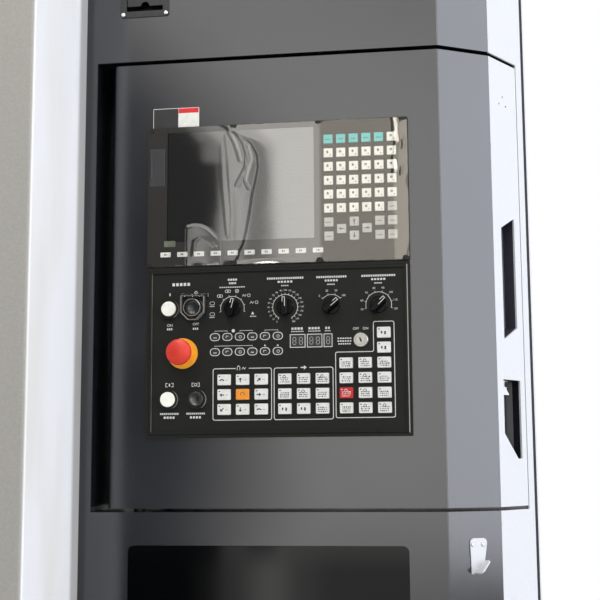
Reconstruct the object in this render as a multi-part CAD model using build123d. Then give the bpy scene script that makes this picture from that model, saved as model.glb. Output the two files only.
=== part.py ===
from build123d import *
import math
import os

# Operator station of a machining center: a floor-standing control column with a swing-out console.
# Millimetres, +Z up, front towards -Y. The plan is drawn with x = 0 under the middle of the display
# unit and y = 0 in the plane of the column's front face. Every piece is moved at the end, so that
# the origin is the bottom centre of the whole part.

# Overall
TOTAL_H = 2050.0
CONSOLE_BOTTOM = 1000.0
SKIN = 3.0
BACK_Y = 336.0
CLEAR = 0.3

# Two front units, one above the other: each lies with a flange around the box behind it
MDI_BOX_W = 380.0
OP_BOX_W = 380.0
UNIT_FLANGE = 10.0
UNIT_GAP = 1.3
UNIT_CUT_GAP = 1.0
OP_BOTTOM = 103.6
OP_H = 257.0
LCD_TOP = 571.5
LCD_HEAD = 8.8
CONSOLE_HEAD = 104.1
MDI_W = MDI_BOX_W + 2 * UNIT_FLANGE
OP_W = OP_BOX_W + 2 * UNIT_FLANGE
OP_TOP = OP_BOTTOM + OP_H
MDI_BOTTOM = OP_TOP + UNIT_GAP
MDI_TOP = LCD_TOP + LCD_HEAD
MDI_H = MDI_TOP - MDI_BOTTOM
MDI_LEFT = -MDI_W / 2
MDI_RIGHT = MDI_W / 2
CONSOLE_H = MDI_TOP + CONSOLE_HEAD

# Console
CONSOLE_LEFT = MDI_LEFT - 60.0
CONSOLE_EDGE_R = 12.0
CONSOLE_DEPTH = 112.0
REAR_SHEET = 2.0
CONSOLE_S = 80.5

# Bay behind the console
BAY_LEFT = CONSOLE_LEFT - 24.7
BAY_TOP_GAP = 6.3
BAY_BOTTOM_GAP = 5.3
BAY_SHEET = 2.0
BAY_DEPTH = 132.0
BAY_EDGE_S = 83.0

# Plan of the outer skin: front face, chamfer and facet
POST_W = 79.0
POST_RIGHT = BAY_LEFT - 18.3
POST_LEFT = POST_RIGHT - POST_W
POST_FRONT = -224.0
POST_EDGE_R = 6.0
FOLD1_X = MDI_RIGHT + 46.8
CHAMFER_ANGLE = 30.6
CHAMFER_W = 88.5
FACET_ANGLE = 58.5
COVER_S = 100.0
SEAL_W = 8.0
SEAL_BULGE = 1.6
SIDE_X = FOLD1_X + 135.2
BEND_R = 3.0

# Base, frame and feet
COVER_Z = 60.0
FOOT_H = 40.0
FOOT_R = 30.0
FOOT_PAD_H = 12.0
STUD_R = 8.0
NUT_R = 12.8
UPRIGHT = 30.0
UPRIGHT_WALL = 2.5
UPRIGHT_FRONT_Y = 170.0

# Pivot of the console
PIVOT_X = CONSOLE_LEFT + 40.0
PIVOT_Y = 40.0
PIN_R = 6.0
PIN_FIT = 0.05
PIN_PLATE_FIT = 0.1
PIN_FLANGE_R = 18.0
PIN_FLANGE_T = 4.0
COLLAR_R = 9.0
BLOCK_W = 50.0
BLOCK_D = 40.0
BLOCK_H = 25.0
BLOCK_CHAMFER = 4.0
PIN_END_GAP = 3.0

# Display unit
MDI_T = 4.5
MDI_CORNER_R = 3.0
MDI_BOX_INSET = 10.2
MDI_BOX_D = 58.0
MDI_BOX_CHAMFER = 3.0
LCD_LEFT = MDI_LEFT + 30.5
LCD_RIGHT = MDI_RIGHT - 142.5
LCD_BOTTOM = MDI_BOTTOM + 38.1
LCD_RECESS = 1.0
LCD_T = 3.0
MDI_KEY = 14.0
MDI_KEY_PROUD = 1.2
MDI_KEY_X = MDI_RIGHT - 120.4
MDI_KEY_Z = LCD_TOP - 20.9
MDI_KEY_PITCH_X = 19.1
MDI_KEY_PITCH_Z = 0.0975 * MDI_H
MDI_COLUMNS = 6
MDI_FULL_ROWS = 6
SOFT_X = MDI_LEFT + 28.9
SOFT_Z = MDI_BOTTOM + 19.0
SOFT_PITCH = 26.0
SOFT_COUNT = 10
SOFT_W = 16.0
SOFT_H = 7.6
MDI_SCREW_IN_X = 5.7
MDI_SCREW_IN_Z = 3.7
MDI_SCREW_INNER_X = 65.5
MDI_SCREW_R = 3.9
MDI_SCREW_HEAD = 1.3
SOCKET_R = 1.9
SOCKET_DEPTH = 0.8
FLAP_LEFT = MDI_LEFT + 2.4
FLAP_W = 24.8
FLAP_TOP = LCD_TOP - 24.0
FLAP_H = 59.6
FLAP_T = 2.2
FLAP_BEAD_R = 1.1
FLAP_RIDGE_IN = 2.5
FLAP_RIDGE_W = 3.0
FLAP_RIDGE_SHARE = 0.55
FLAP_RIDGE_PROUD = 1.2
FLAP_RIDGE_CHAMFER = 0.8
CARD_BAY_IN = 10.1
CARD_BAY_W = 13.0
CARD_BAY_D = 16.0
CARD_BAY_WALL = 2.0
CARD_BAY_END = 6.0
FILM_LEFT = MDI_LEFT + 33.0
FILM_IN = 1.0
FILM_T = 0.4

# Operator panel: the places of its controls are shares of its width and height
OP_CORNER_R = 2.0
OP_RIM = 9.0
OP_RIM_LOW = 6.0
OP_RIM_PROUD = 7.5
OP_RIDGE_W = 4.6
OP_RIDGE_CHAMFER = 1.4
OP_FACE = 5.0
OP_BOX_GAP = 16.0
OP_BOX_D = 42.0
OP_BOX_INSET = 4.0
OP_POST_R = 5.0
OP_POST_IN = 17.0
OP_POST_IN_Z = 20.0
OP_POST_ROOT = 0.5
CONTROL_ROW_Z = OP_BOTTOM + 0.7525 * OP_H
BUTTON_R = 11.2
BUTTON_PLAY = 0.25
BUTTON_PROUD = 8.5
BUTTON_FILLET = 1.2
BUTTON_FLANGE_R = 13.2
BUTTON_FLANGE_T = 2.0
DISH_R = 8.8
DISH_DEPTH = 1.8
BEZEL_R = 14.6
BEZEL_PROUD = 6.0
POWER_ON_X = -0.41 * OP_W
POWER_OFF_X = -0.3138 * OP_W
CYCLE_START_X = -0.4113 * OP_W
CYCLE_STOP_X = -0.3035 * OP_W
CYCLE_Z = OP_BOTTOM + 0.2222 * OP_H
GUARD_W = 36.5
GUARD_H = 36.0
GUARD_D = 17.0
GUARD_WALL = 1.6
GUARD_HINGE_R = 2.4
GUARD_HINGE_PIN_R = 1.0
GUARD_HINGE_PIN_L = 5.0
GUARD_HINGE_OUT = 3.2
GUARD_EAR_T = 3.0
GUARD_CORNER = 11.5
GUARD_RING_R = 13.5
ESTOP_X = -0.3578 * OP_W
ESTOP_Z = OP_BOTTOM + 0.4903 * OP_H
ESTOP_RING_R = 22.9
ESTOP_RING_T = 2.5
ESTOP_COLLAR_R = 15.0
ESTOP_COLLAR = 8.0
ESTOP_REAR = 3.0
ESTOP_STEM_R = 7.0
ESTOP_STEM_FLANGE = 3.0
ESTOP_STEM_FLANGE_T = 2.0
ESTOP_HEAD_R = 19.3
ESTOP_HEAD_H = 18.0
ESTOP_HEAD_GAP = 7.0
ESTOP_SEAT = 10.0
ESTOP_SEAT_WALL = 4.0
KNOB_X = {"mode": -0.1685 * OP_W, "feed": 0.032 * OP_W, "rapid": 0.206 * OP_W, "spindle": 0.381 * OP_W}
KNOB_REST = {"mode": 15.0, "feed": 0.0, "rapid": 50.0, "spindle": 45.0}
KNOB_ROW_Z = OP_BOTTOM + 0.7498 * OP_H
KNOB_SKIRT_R = 12.6
KNOB_SKIRT_H = 3.0
KNOB_GRIP_L = 28.4
KNOB_GRIP_W = 12.2
KNOB_CREST_W = 9.2
KNOB_GRIP_H = 15.0
KNOB_CHAMFER = 1.0
KNOB_GROOVE_W = 2.6
KNOB_GROOVE_D = 0.6
KNOB_SHAFT_R = 3.0
KNOB_SHAFT_REAR = 8.0
LOCK_X = 0.313 * OP_W
LOCK_Z = OP_BOTTOM + 0.5494 * OP_H
LOCK_RING_R = 11.0
LOCK_RING_CHAMFER = 1.2
LOCK_PROUD = 4.0
LOCK_BARREL_R = 6.8
LOCK_BARREL_PROUD = 0.6
LOCK_BARREL_REAR = 8.0
LOCK_SHANK_R = 9.0
LOCK_SHANK_REAR = 10.0
LOCK_SLOT_L = 8.0
LOCK_SLOT_W = 1.8
LOCK_SLOT_D = 6.0
LOCK_SLOT_ANGLE = 20.0
KEY_W = 20.0
KEY_H = 16.0
KEY_PROUD = 3.0
KEY_PLAY = 0.3
KEY_FLANGE = 1.2
KEY_FLANGE_T = 1.5
KEY_CORNER_R = 1.6
KEY_CHAMFER = 0.5
KEY_PITCH_X = 0.07 * OP_W
KEY_PITCH_Z = 0.0856 * OP_H
JOG_X = -0.1988 * OP_W
MIDDLE_X = 0.0298 * OP_W
RIGHT_X = 0.2583 * OP_W
KEY_BOTTOM_Z = OP_BOTTOM + 0.1611 * OP_H
PAD_ROWS = 3
PAD_COLUMNS = 3
RIGHT_ROWS = 4
FUNCTION_ROWS = 6

# Pull slot and lower pocket in the console's white facet
SLOT_S0 = 23.5
SLOT_S1 = 63.3
SLOT_Z0 = 248.0
SLOT_Z1 = 419.0
SLOT_RISE = 20.0
SLOT_CORNER_R = 2.0
CUP_WALL = 2.0
CUP_DEPTH = 26.0
POCKET_S0 = 17.0
POCKET_S1 = 67.0
POCKET_FLAT = 12.0
POCKET_Z0 = 70.0
POCKET_Z1 = 187.8
POCKET_SLOPE_Z = 107.0
POCKET_DEPTH = 22.0
TAB_W = 12.0
TAB_FOOT_W = 16.0
TAB_NOTCH_W = 9.0
TAB_NOTCH_RISE = 9.0
TAB_FOOT_H = 1.5
TAB_H = 21.0
TAB_T = 2.0
TAB_IN = 0.5
TAB_LEG_D = 12.0
TAB_SCREW_IN = 7.5
TAB_SCREW_DROP = 5.0
TAB_SCREW_R = 4.6
TAB_SCREW_HEAD = 1.8
SIDE_HOLES = [(38.6, CONSOLE_H - 56.7), (27.9, CONSOLE_H - 69.5), (48.2, CONSOLE_H - 69.7)]
SIDE_HOLE_R = 1.6

# Window in the lower part of the column
WINDOW_LEFT = POST_RIGHT + 77.2
WINDOW_RIGHT = FOLD1_X - 56.6
WINDOW_TOP = -54.0
WINDOW_H = 480.0
WINDOW_CORNER_R = 9.0
WINDOW_GAP = 0.3
WINDOW_FRAME_W = 24.0
WINDOW_FRAME_LAP = 12.0
WINDOW_FRAME_T = 4.0

# Coat hook on the lower chamfer
HOOK_LEFT = 33.8
HOOK_RIGHT = 62.9
HOOK_TOP = -43.4
HOOK_H = 50.5
HOOK_T = 2.0
HOOK_TOP_R = 6.5
HOOK_LIP_R = 5.0
HOOK_FOOT_LEFT = 36.0
HOOK_FOOT_RIGHT = 39.8
HOOK_FOLD_S = 57.4
HOOK_FOLD_Z = 34.0
HOOK_LIP_TOP = 15.0
HOOK_LIP_LEAN = 4.0
HOOK_LIP_BOTTOM = 23.0
HOOK_LIP_FOOT = 3.0
HOOK_SCREW_LEFT = 37.9
HOOK_SCREW_RIGHT = 55.3
HOOK_SCREW_DROP = 8.9
HOOK_SCREW_R = 2.8
COVER_SCREW_R = 3.4
COVER_SCREW_HEAD = 2.2
COVER_SCREW_SHANK_R = 2.0

# Flush latch in the upper part of the column
HEAD_H = TOTAL_H - CONSOLE_BOTTOM - CONSOLE_H
LATCH_LEFT = POST_RIGHT + 54.3
LATCH_W = 78.6
LATCH_BOTTOM = CONSOLE_H + 0.2144 * HEAD_H
LATCH_H = 118.0
LATCH_FLANGE = 8.0
LATCH_FLANGE_T = 1.5
LATCH_DEPTH = 24.0
LATCH_WALL = 2.0
LATCH_CORNER_R = 5.0
LATCH_SCREW_IN = 4.8
PADDLE_GAP = 0.6
PADDLE_T = 3.0
PADDLE_RECESS = 2.5
PADDLE_FINGER_GAP = 9.0
PADDLE_NOTCH_R = 7.0
PADDLE_PIN_R = 2.0
PADDLE_PIN_FIT = 0.05
PADDLE_LIP_RISE = 0.35
PADDLE_LIP_SHARE = 0.8


def direction(angle):
    return (math.cos(math.radians(angle)), math.sin(math.radians(angle)))


def along(start, heading, length):
    return (start[0] + heading[0] * length, start[1] + heading[1] * length)


CHAMFER_DIR = direction(CHAMFER_ANGLE)
FACET_DIR = direction(FACET_ANGLE)
FOLD1 = (FOLD1_X, 0.0)
FOLD2 = along(FOLD1, CHAMFER_DIR, CHAMFER_W)
CORNER = along(FOLD2, FACET_DIR, (SIDE_X - FOLD2[0]) / FACET_DIR[0])


def facet_at(length):
    return along(FOLD2, FACET_DIR, length)


def inner_path(points, depth):
    """Offset an open path to its left side (into the column), with mitred corners."""
    normals = []
    for a, b in zip(points, points[1:]):
        length = math.hypot(b[0] - a[0], b[1] - a[1])
        normals.append((-(b[1] - a[1]) / length, (b[0] - a[0]) / length))
    result = [along(points[0], normals[0], depth)]
    for point, n, m in zip(points[1:], normals, normals[1:]):
        share = depth / (1.0 + n[0] * m[0] + n[1] * m[1])
        result.append(along(point, (n[0] + m[0], n[1] + m[1]), share))
    result.append(along(points[-1], normals[-1], depth))
    return result


def polygon(points):
    return make_face(Polyline(*points, close=True))


def prism(points, z0, z1):
    return extrude(Pos(0, 0, z0) * polygon(points), amount=z1 - z0)


def strip_face(points, first, last):
    """Plan of one wall of the skin: the path's points first to last, with the path's mitres at its ends."""
    inside = inner_path(points, SKIN)
    return polygon(points[first:last + 1] + inside[first:last + 1][::-1])


def strip(points, first, last, z0, z1):
    return extrude(Pos(0, 0, z0) * strip_face(points, first, last), amount=z1 - z0)


def bend(face, place, radius):
    """Round the corner of a plan that lies nearest to a place."""
    corner = face.vertices().sort_by(lambda v: math.hypot(v.X - place[0], v.Y - place[1]))[0]
    return fillet(corner, radius)


def box(x0, x1, y0, y1, z0, z1):
    return Pos((x0 + x1) / 2, (y0 + y1) / 2, (z0 + z1) / 2) * Box(x1 - x0, y1 - y0, z1 - z0)


def upright_rod(x, y, z0, z1, radius):
    return Pos(x, y, (z0 + z1) / 2) * Cylinder(radius, z1 - z0)


def upright_bore(x, y, z0, z1, radius):
    """Cutter for a hole through a plate from z0 to z1, run past both of its faces."""
    return upright_rod(x, y, z0 - 1, z1 + 1, radius)


# Working planes: sketch x runs to the right along the face, sketch y is up, the normal points out
FRONT = Plane(origin=(0, 0, CONSOLE_BOTTOM), x_dir=(1, 0, 0), z_dir=(0, -1, 0))
CHAMFER = Plane(
    origin=(FOLD1[0], FOLD1[1], CONSOLE_BOTTOM),
    x_dir=(CHAMFER_DIR[0], CHAMFER_DIR[1], 0),
    z_dir=(CHAMFER_DIR[1], -CHAMFER_DIR[0], 0),
)
FACET = Plane(
    origin=(FOLD2[0], FOLD2[1], CONSOLE_BOTTOM),
    x_dir=(FACET_DIR[0], FACET_DIR[1], 0),
    z_dir=(FACET_DIR[1], -FACET_DIR[0], 0),
)


def slab(plane, sketch, out0, out1):
    """Extrude a sketch on a working plane, from out0 to out1 in front of that plane."""
    return extrude(plane.offset(out0) * sketch, amount=out1 - out0)


def disc(plane, x, z, radius, out0, out1):
    return slab(plane, Pos(x, z) * Circle(radius), out0, out1)


def pad(plane, x, z, width, height, out0, out1, corner=0.0):
    shape = RectangleRounded(width, height, corner) if corner else Rectangle(width, height)
    return slab(plane, Pos(x, z) * shape, out0, out1)


def rounded(points, radius):
    face = polygon(points)
    return fillet(face.vertices(), radius) if radius else face


def fuse(pieces):
    first, *rest = pieces
    return first.fuse(*rest) if rest else first


# Column

COLUMN_PATH = [(POST_RIGHT, 0.0), FOLD1, FOLD2, facet_at(COVER_S)]
CAP_Z = TOTAL_H - SKIN
BAY_Z0 = CONSOLE_BOTTOM - BAY_BOTTOM_GAP
BAY_Z1 = CONSOLE_BOTTOM + CONSOLE_H + BAY_TOP_GAP
WINDOW_X = (WINDOW_LEFT + WINDOW_RIGHT) / 2
WINDOW_W = WINDOW_RIGHT - WINDOW_LEFT
WINDOW_MID = WINDOW_TOP - WINDOW_H / 2
LATCH_X = LATCH_LEFT + LATCH_W / 2
LATCH_Z = LATCH_BOTTOM + LATCH_H / 2
LATCH_CUP_W = LATCH_W - 2 * LATCH_FLANGE
LATCH_CUP_H = LATCH_H - 2 * LATCH_FLANGE
HOOK_SCREWS = [(s, HOOK_TOP - HOOK_SCREW_DROP) for s in (HOOK_SCREW_LEFT, HOOK_SCREW_RIGHT)]


def bay_notch():
    far = SIDE_X
    edge = facet_at(BAY_EDGE_S)
    edge_in = along(edge, (-FACET_DIR[1], FACET_DIR[0]), SKIN * 2)
    return prism([(BAY_LEFT, -SKIN), (far, -SKIN), edge, edge_in, (BAY_LEFT, edge_in[1])], BAY_Z0, BAY_Z1)


def front_cover():
    plan = bend(strip_face(COLUMN_PATH, 0, 2), FOLD1, BEND_R)
    sheet = extrude(Pos(0, 0, COVER_Z) * plan, amount=CAP_Z - COVER_Z)
    sheet -= bay_notch()
    sheet -= pad(FRONT, WINDOW_X, WINDOW_MID, WINDOW_W + 2 * WINDOW_GAP, WINDOW_H + 2 * WINDOW_GAP,
                 -2 * SKIN, SKIN, WINDOW_CORNER_R + WINDOW_GAP)
    sheet -= pad(FRONT, LATCH_X, LATCH_Z, LATCH_CUP_W + 2 * CLEAR, LATCH_CUP_H + 2 * CLEAR, -2 * SKIN, SKIN)
    for x, z in latch_screw_places():
        sheet -= disc(FRONT, x, z, COVER_SCREW_SHANK_R + CLEAR, -2 * SKIN, SKIN)
    for s, z in HOOK_SCREWS:
        sheet -= disc(CHAMFER, s, z, COVER_SCREW_SHANK_R + CLEAR, -2 * SKIN, SKIN)
    return sheet


def side_cover():
    return strip(COLUMN_PATH, 2, 3, COVER_Z, CAP_Z) - bay_notch()


def edge_seal():
    """Rubber strip between the white facet and the side panel, with a low rounded bulge."""
    start, end = facet_at(COVER_S), facet_at(COVER_S + SEAL_W)
    middle = along(facet_at(COVER_S + SEAL_W / 2), (FACET_DIR[1], -FACET_DIR[0]), SEAL_BULGE)
    into = (-FACET_DIR[1], FACET_DIR[0])
    back_end, back_start = along(end, into, SKIN), along(start, into, SKIN)
    outline = ThreePointArc(start, middle, end) + Polyline(end, back_end, back_start, start)
    return extrude(Pos(0, 0, COVER_Z) * make_face(outline), amount=CAP_Z - COVER_Z)


def side_panel():
    path = [facet_at(COVER_S + SEAL_W), CORNER, (SIDE_X, BACK_Y - SKIN)]
    return strip(path, 0, 2, COVER_Z, CAP_Z)


def back_panel():
    return box(POST_RIGHT, SIDE_X, BACK_Y - SKIN, BACK_Y, COVER_Z, CAP_Z)


def door_post():
    """Folded box section with a rounded front edge on the console side."""
    outer = box(POST_LEFT, POST_RIGHT, POST_FRONT, BACK_Y, COVER_Z, CAP_Z)
    edge = [e for e in outer.edges().filter_by(Axis.Z) if e.center().X > POST_LEFT + 1 and e.center().Y < 0]
    outer = fillet(edge, POST_EDGE_R)
    return outer - box(POST_LEFT + SKIN, POST_RIGHT - SKIN, POST_FRONT + SKIN, BACK_Y - SKIN, COVER_Z, CAP_Z)


def plan_outline():
    post = [(POST_LEFT, BACK_Y), (POST_LEFT, POST_FRONT), (POST_RIGHT, POST_FRONT)]
    return post + [(POST_RIGHT, 0.0), FOLD1, FOLD2, CORNER, (SIDE_X, BACK_Y)]


def top_cap():
    return prism(plan_outline(), CAP_Z, TOTAL_H)


def square_tube(x, y, z0, z1):
    half = UPRIGHT / 2
    hollow = half - UPRIGHT_WALL
    outer = box(x - half, x + half, y - half, y + half, z0, z1)
    return outer - box(x - hollow, x + hollow, y - hollow, y + hollow, z0, z1)


def base_plate():
    plate = prism(plan_outline(), FOOT_H, COVER_Z)
    for x, y in foot_places():
        plate -= upright_bore(x, y, FOOT_H, COVER_Z, STUD_R + CLEAR)
    return plate


def inner_frame():
    """Four square uprights between a bottom ring and a top ring, welded."""
    half = UPRIGHT / 2
    bottom_z1, top_z0 = COVER_Z + UPRIGHT, CAP_Z - UPRIGHT
    back_y = BACK_Y - SKIN - half
    left_x, right_x = POST_RIGHT + half, SIDE_X - SKIN - half
    pieces = []
    for x in (left_x, right_x):
        for y in (UPRIGHT_FRONT_Y, back_y):
            pieces.append(square_tube(x, y, bottom_z1, top_z0))
    for z0, z1 in ((COVER_Z, bottom_z1), (top_z0, CAP_Z)):
        for x in (left_x, right_x):
            pieces.append(box(x - half, x + half, UPRIGHT_FRONT_Y - half, back_y + half, z0, z1))
        for y in (UPRIGHT_FRONT_Y, back_y):
            pieces.append(box(left_x + half, right_x - half, y - half, y + half, z0, z1))
    return fuse(pieces)


def foot_places():
    inset = FOOT_R + 2 * SKIN
    left_x = POST_LEFT + inset
    back_y = BACK_Y - inset
    return [(left_x, POST_FRONT + inset), (left_x, back_y), (SIDE_X - inset, back_y),
            (FOLD1_X - inset, inset)]


def levelling_feet():
    feet = []
    for x, y in foot_places():
        base = upright_rod(x, y, 0, FOOT_PAD_H, FOOT_R)
        base = chamfer(base.edges().sort_by(Axis.Z)[-1], FOOT_PAD_H / 3)
        stud = upright_rod(x, y, FOOT_PAD_H, COVER_Z, STUD_R)
        nut = Pos(x, y, 0) * extrude(Pos(0, 0, FOOT_H - STUD_R) * RegularPolygon(NUT_R, 6), amount=STUD_R)
        feet.append(fuse([base, stud, nut]))
    return Compound(children=feet)


def bay_liner():
    """Sheet box behind the console: ceiling, floor, left wall and back, with the welded bearing blocks."""
    left = BAY_LEFT
    outline = inner_path([(left - BAY_SHEET, 0.0), FOLD1, FOLD2, facet_at(COVER_S)], SKIN)
    back_right = (outline[3][0], BAY_DEPTH)
    sheet_back = BAY_DEPTH + BAY_SHEET
    corner = [outline[3], (outline[3][0], sheet_back)] if outline[3][1] < BAY_DEPTH else [back_right]
    plan = outline[:3] + corner + [(left - BAY_SHEET, sheet_back)]
    ceiling = prism(plan, BAY_Z1, BAY_Z1 + BAY_SHEET)
    floor = prism(plan, BAY_Z0 - BAY_SHEET, BAY_Z0)
    wall = box(left - BAY_SHEET, left, SKIN, sheet_back, BAY_Z0, BAY_Z1)
    back = box(left, outline[3][0] - BAY_SHEET, BAY_DEPTH, sheet_back, BAY_Z0, BAY_Z1)
    liner = fuse([ceiling, floor, wall, back])
    for z0 in (BAY_Z1 + BAY_SHEET, BAY_Z0 - BAY_SHEET - BLOCK_H):
        block = Pos(PIVOT_X, PIVOT_Y, z0 + BLOCK_H / 2) * Box(BLOCK_W, BLOCK_D, BLOCK_H)
        liner += chamfer(block.edges().filter_by(Axis.Z), BLOCK_CHAMFER)
        liner -= upright_bore(PIVOT_X, PIVOT_Y, z0 - BAY_SHEET, z0 + BLOCK_H + BAY_SHEET, PIN_R + PIN_FIT)
    return liner


def window_pane():
    return pad(FRONT, WINDOW_X, WINDOW_MID, WINDOW_W, WINDOW_H, -SKIN, 0, WINDOW_CORNER_R)


def window_frame():
    """Retaining frame behind the pane and the cover's cut-out."""
    outer = pad(FRONT, WINDOW_X, WINDOW_MID, WINDOW_W + 2 * WINDOW_FRAME_LAP, WINDOW_H + 2 * WINDOW_FRAME_LAP,
                -SKIN - WINDOW_FRAME_T, -SKIN, WINDOW_CORNER_R)
    hole_w = WINDOW_W + 2 * WINDOW_FRAME_LAP - 2 * WINDOW_FRAME_W
    hole_h = WINDOW_H + 2 * WINDOW_FRAME_LAP - 2 * WINDOW_FRAME_W
    return outer - pad(FRONT, WINDOW_X, WINDOW_MID, hole_w, hole_h, -SKIN - WINDOW_FRAME_T, -SKIN)


def coat_hook():
    """Tapered plate with a tongue folded square out of it along a slanting line."""
    low = HOOK_TOP - HOOK_H
    fold_top = (HOOK_FOLD_S, HOOK_TOP - HOOK_FOLD_Z)
    fold_foot = (HOOK_FOOT_RIGHT, low)
    corners = polygon([(HOOK_LEFT, HOOK_TOP), (HOOK_RIGHT, HOOK_TOP), fold_top, fold_foot,
                       (HOOK_FOOT_LEFT, low)])
    top_corners = corners.vertices().sort_by(Axis.Y)[-2:]
    plate = slab(CHAMFER, fillet(top_corners, HOOK_TOP_R), 0, HOOK_T)
    run = (fold_top[0] - fold_foot[0], fold_top[1] - fold_foot[1])
    length = math.hypot(*run)
    lip_plane = Plane(
        origin=CHAMFER.from_local_coords((fold_foot[0], fold_foot[1], 0)),
        x_dir=CHAMFER.from_local_coords((run[0], run[1], 0)) - CHAMFER.from_local_coords((0, 0, 0)),
        z_dir=CHAMFER.from_local_coords((-run[1], run[0], 0)) - CHAMFER.from_local_coords((0, 0, 0)),
    )
    tongue = polygon([(0, 0), (length, 0), (length + HOOK_LIP_LEAN, -HOOK_LIP_TOP),
                      (HOOK_LIP_FOOT, -HOOK_LIP_BOTTOM)])
    tip = tongue.vertices().sort_by(Axis.Y)[:2]
    lip = extrude(lip_plane * fillet(tip, HOOK_LIP_R), amount=HOOK_T)
    hook = plate + lip
    for s, z in HOOK_SCREWS:
        hook -= disc(CHAMFER, s, z, COVER_SCREW_SHANK_R + CLEAR, -1, HOOK_T + 1)
    return hook


def latch_screw_places():
    dx = LATCH_W / 2 - LATCH_SCREW_IN
    dz = LATCH_H / 2 - LATCH_SCREW_IN
    return [(LATCH_X + sx * dx, LATCH_Z + sz * dz) for sx in (-1, 1) for sz in (-1, 1)]


def pan_screw(plane, x, z, seat, grip, head_r=COVER_SCREW_R, head=COVER_SCREW_HEAD):
    """Pan head with a hexagon socket on its seat, and a plain shank through the sheet."""
    cap = disc(plane, x, z, head_r, seat, seat + head)
    rim = cap.edges().filter_by(GeomType.CIRCLE).group_by(lambda e: plane.to_local_coords(e.center()).Z)[-1]
    cap = fillet(rim, head * 0.6)
    cap -= slab(plane, Pos(x, z) * RegularPolygon(SOCKET_R, 6), seat + head - SOCKET_DEPTH, seat + head)
    return cap + disc(plane, x, z, COVER_SCREW_SHANK_R, seat - grip, seat)


def cover_screws():
    screws = [pan_screw(CHAMFER, s, z, HOOK_T, 3 * SKIN, HOOK_SCREW_R) for s, z in HOOK_SCREWS]
    screws += [pan_screw(FRONT, x, z, LATCH_FLANGE_T, 3 * SKIN) for x, z in latch_screw_places()]
    return Compound(children=screws)


PADDLE_TOP = LATCH_Z + LATCH_CUP_H / 2 - LATCH_WALL - PADDLE_GAP
PADDLE_PIN_Z = PADDLE_TOP - PADDLE_T
PADDLE_W = LATCH_CUP_W - 2 * LATCH_WALL - 2 * PADDLE_GAP
PADDLE_OUT = LATCH_FLANGE_T - PADDLE_RECESS


def latch_dish():
    """Moulded dish: flange on the sheet, cup behind it, bores for the paddle's pin."""
    flange = pad(FRONT, LATCH_X, LATCH_Z, LATCH_W, LATCH_H, 0, LATCH_FLANGE_T, LATCH_CORNER_R)
    cup = pad(FRONT, LATCH_X, LATCH_Z, LATCH_CUP_W, LATCH_CUP_H, -LATCH_DEPTH, 0)
    hollow = pad(FRONT, LATCH_X, LATCH_Z, LATCH_CUP_W - 2 * LATCH_WALL, LATCH_CUP_H - 2 * LATCH_WALL,
                 -LATCH_DEPTH + LATCH_WALL, LATCH_FLANGE_T)
    dish = flange + cup - hollow
    for x, z in latch_screw_places():
        dish -= disc(FRONT, x, z, COVER_SCREW_SHANK_R + CLEAR, -1, LATCH_FLANGE_T)
    return dish - paddle_pin(PADDLE_PIN_R + PADDLE_PIN_FIT, LATCH_CUP_W - LATCH_WALL)


def paddle_pin(radius, length):
    y = PADDLE_T / 2 - PADDLE_OUT
    return Pos(LATCH_X, y, CONSOLE_BOTTOM + PADDLE_PIN_Z) * Rot(0, 90, 0) * Cylinder(radius, length)


def latch_paddle():
    """Paddle that hangs on its top pin, with a finger gap and a notch at its lower edge."""
    bottom = LATCH_Z - LATCH_CUP_H / 2 + LATCH_WALL + PADDLE_FINGER_GAP
    height = PADDLE_TOP - bottom
    plate = pad(FRONT, LATCH_X, bottom + height / 2, PADDLE_W, height, PADDLE_OUT - PADDLE_T, PADDLE_OUT)
    knuckle = [e for e in plate.edges().filter_by(Axis.X) if e.center().Z > CONSOLE_BOTTOM + PADDLE_TOP - 1]
    plate = fillet(knuckle, PADDLE_T / 2 - 0.01)
    plate -= disc(FRONT, LATCH_X, bottom, PADDLE_NOTCH_R, PADDLE_OUT - PADDLE_T, PADDLE_OUT)
    lip = pad(FRONT, LATCH_X, bottom + height * PADDLE_LIP_RISE, PADDLE_W * PADDLE_LIP_SHARE, PADDLE_T,
              PADDLE_OUT - 3 * PADDLE_T, PADDLE_OUT - PADDLE_T)
    boss = Pos(LATCH_X, PADDLE_T / 2 - PADDLE_OUT, CONSOLE_BOTTOM + PADDLE_PIN_Z)
    boss *= Rot(0, 90, 0) * Cylinder(PADDLE_T, PADDLE_W)
    return plate + lip + boss + paddle_pin(PADDLE_PIN_R, LATCH_CUP_W - LATCH_WALL - 2 * PADDLE_PIN_FIT)


# Console

MDI_Z = (MDI_TOP + MDI_BOTTOM) / 2
MDI_BOX_H = MDI_H - 2 * MDI_BOX_INSET
OP_MID = (OP_TOP + OP_BOTTOM) / 2
CONSOLE_PATH = [(CONSOLE_LEFT, CONSOLE_DEPTH), (CONSOLE_LEFT, 0.0), FOLD1, FOLD2, facet_at(CONSOLE_S)]
CONSOLE_TOP = CONSOLE_BOTTOM + CONSOLE_H


def console_floor_plan(depth, rear):
    """Console plan, depth inside its outer faces and cut off at y = rear."""
    inside = inner_path(CONSOLE_PATH, depth)
    reach = (rear - inside[3][1]) / FACET_DIR[1]
    return [(inside[0][0], rear)] + inside[1:4] + [along(inside[3], FACET_DIR, reach)]


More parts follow.
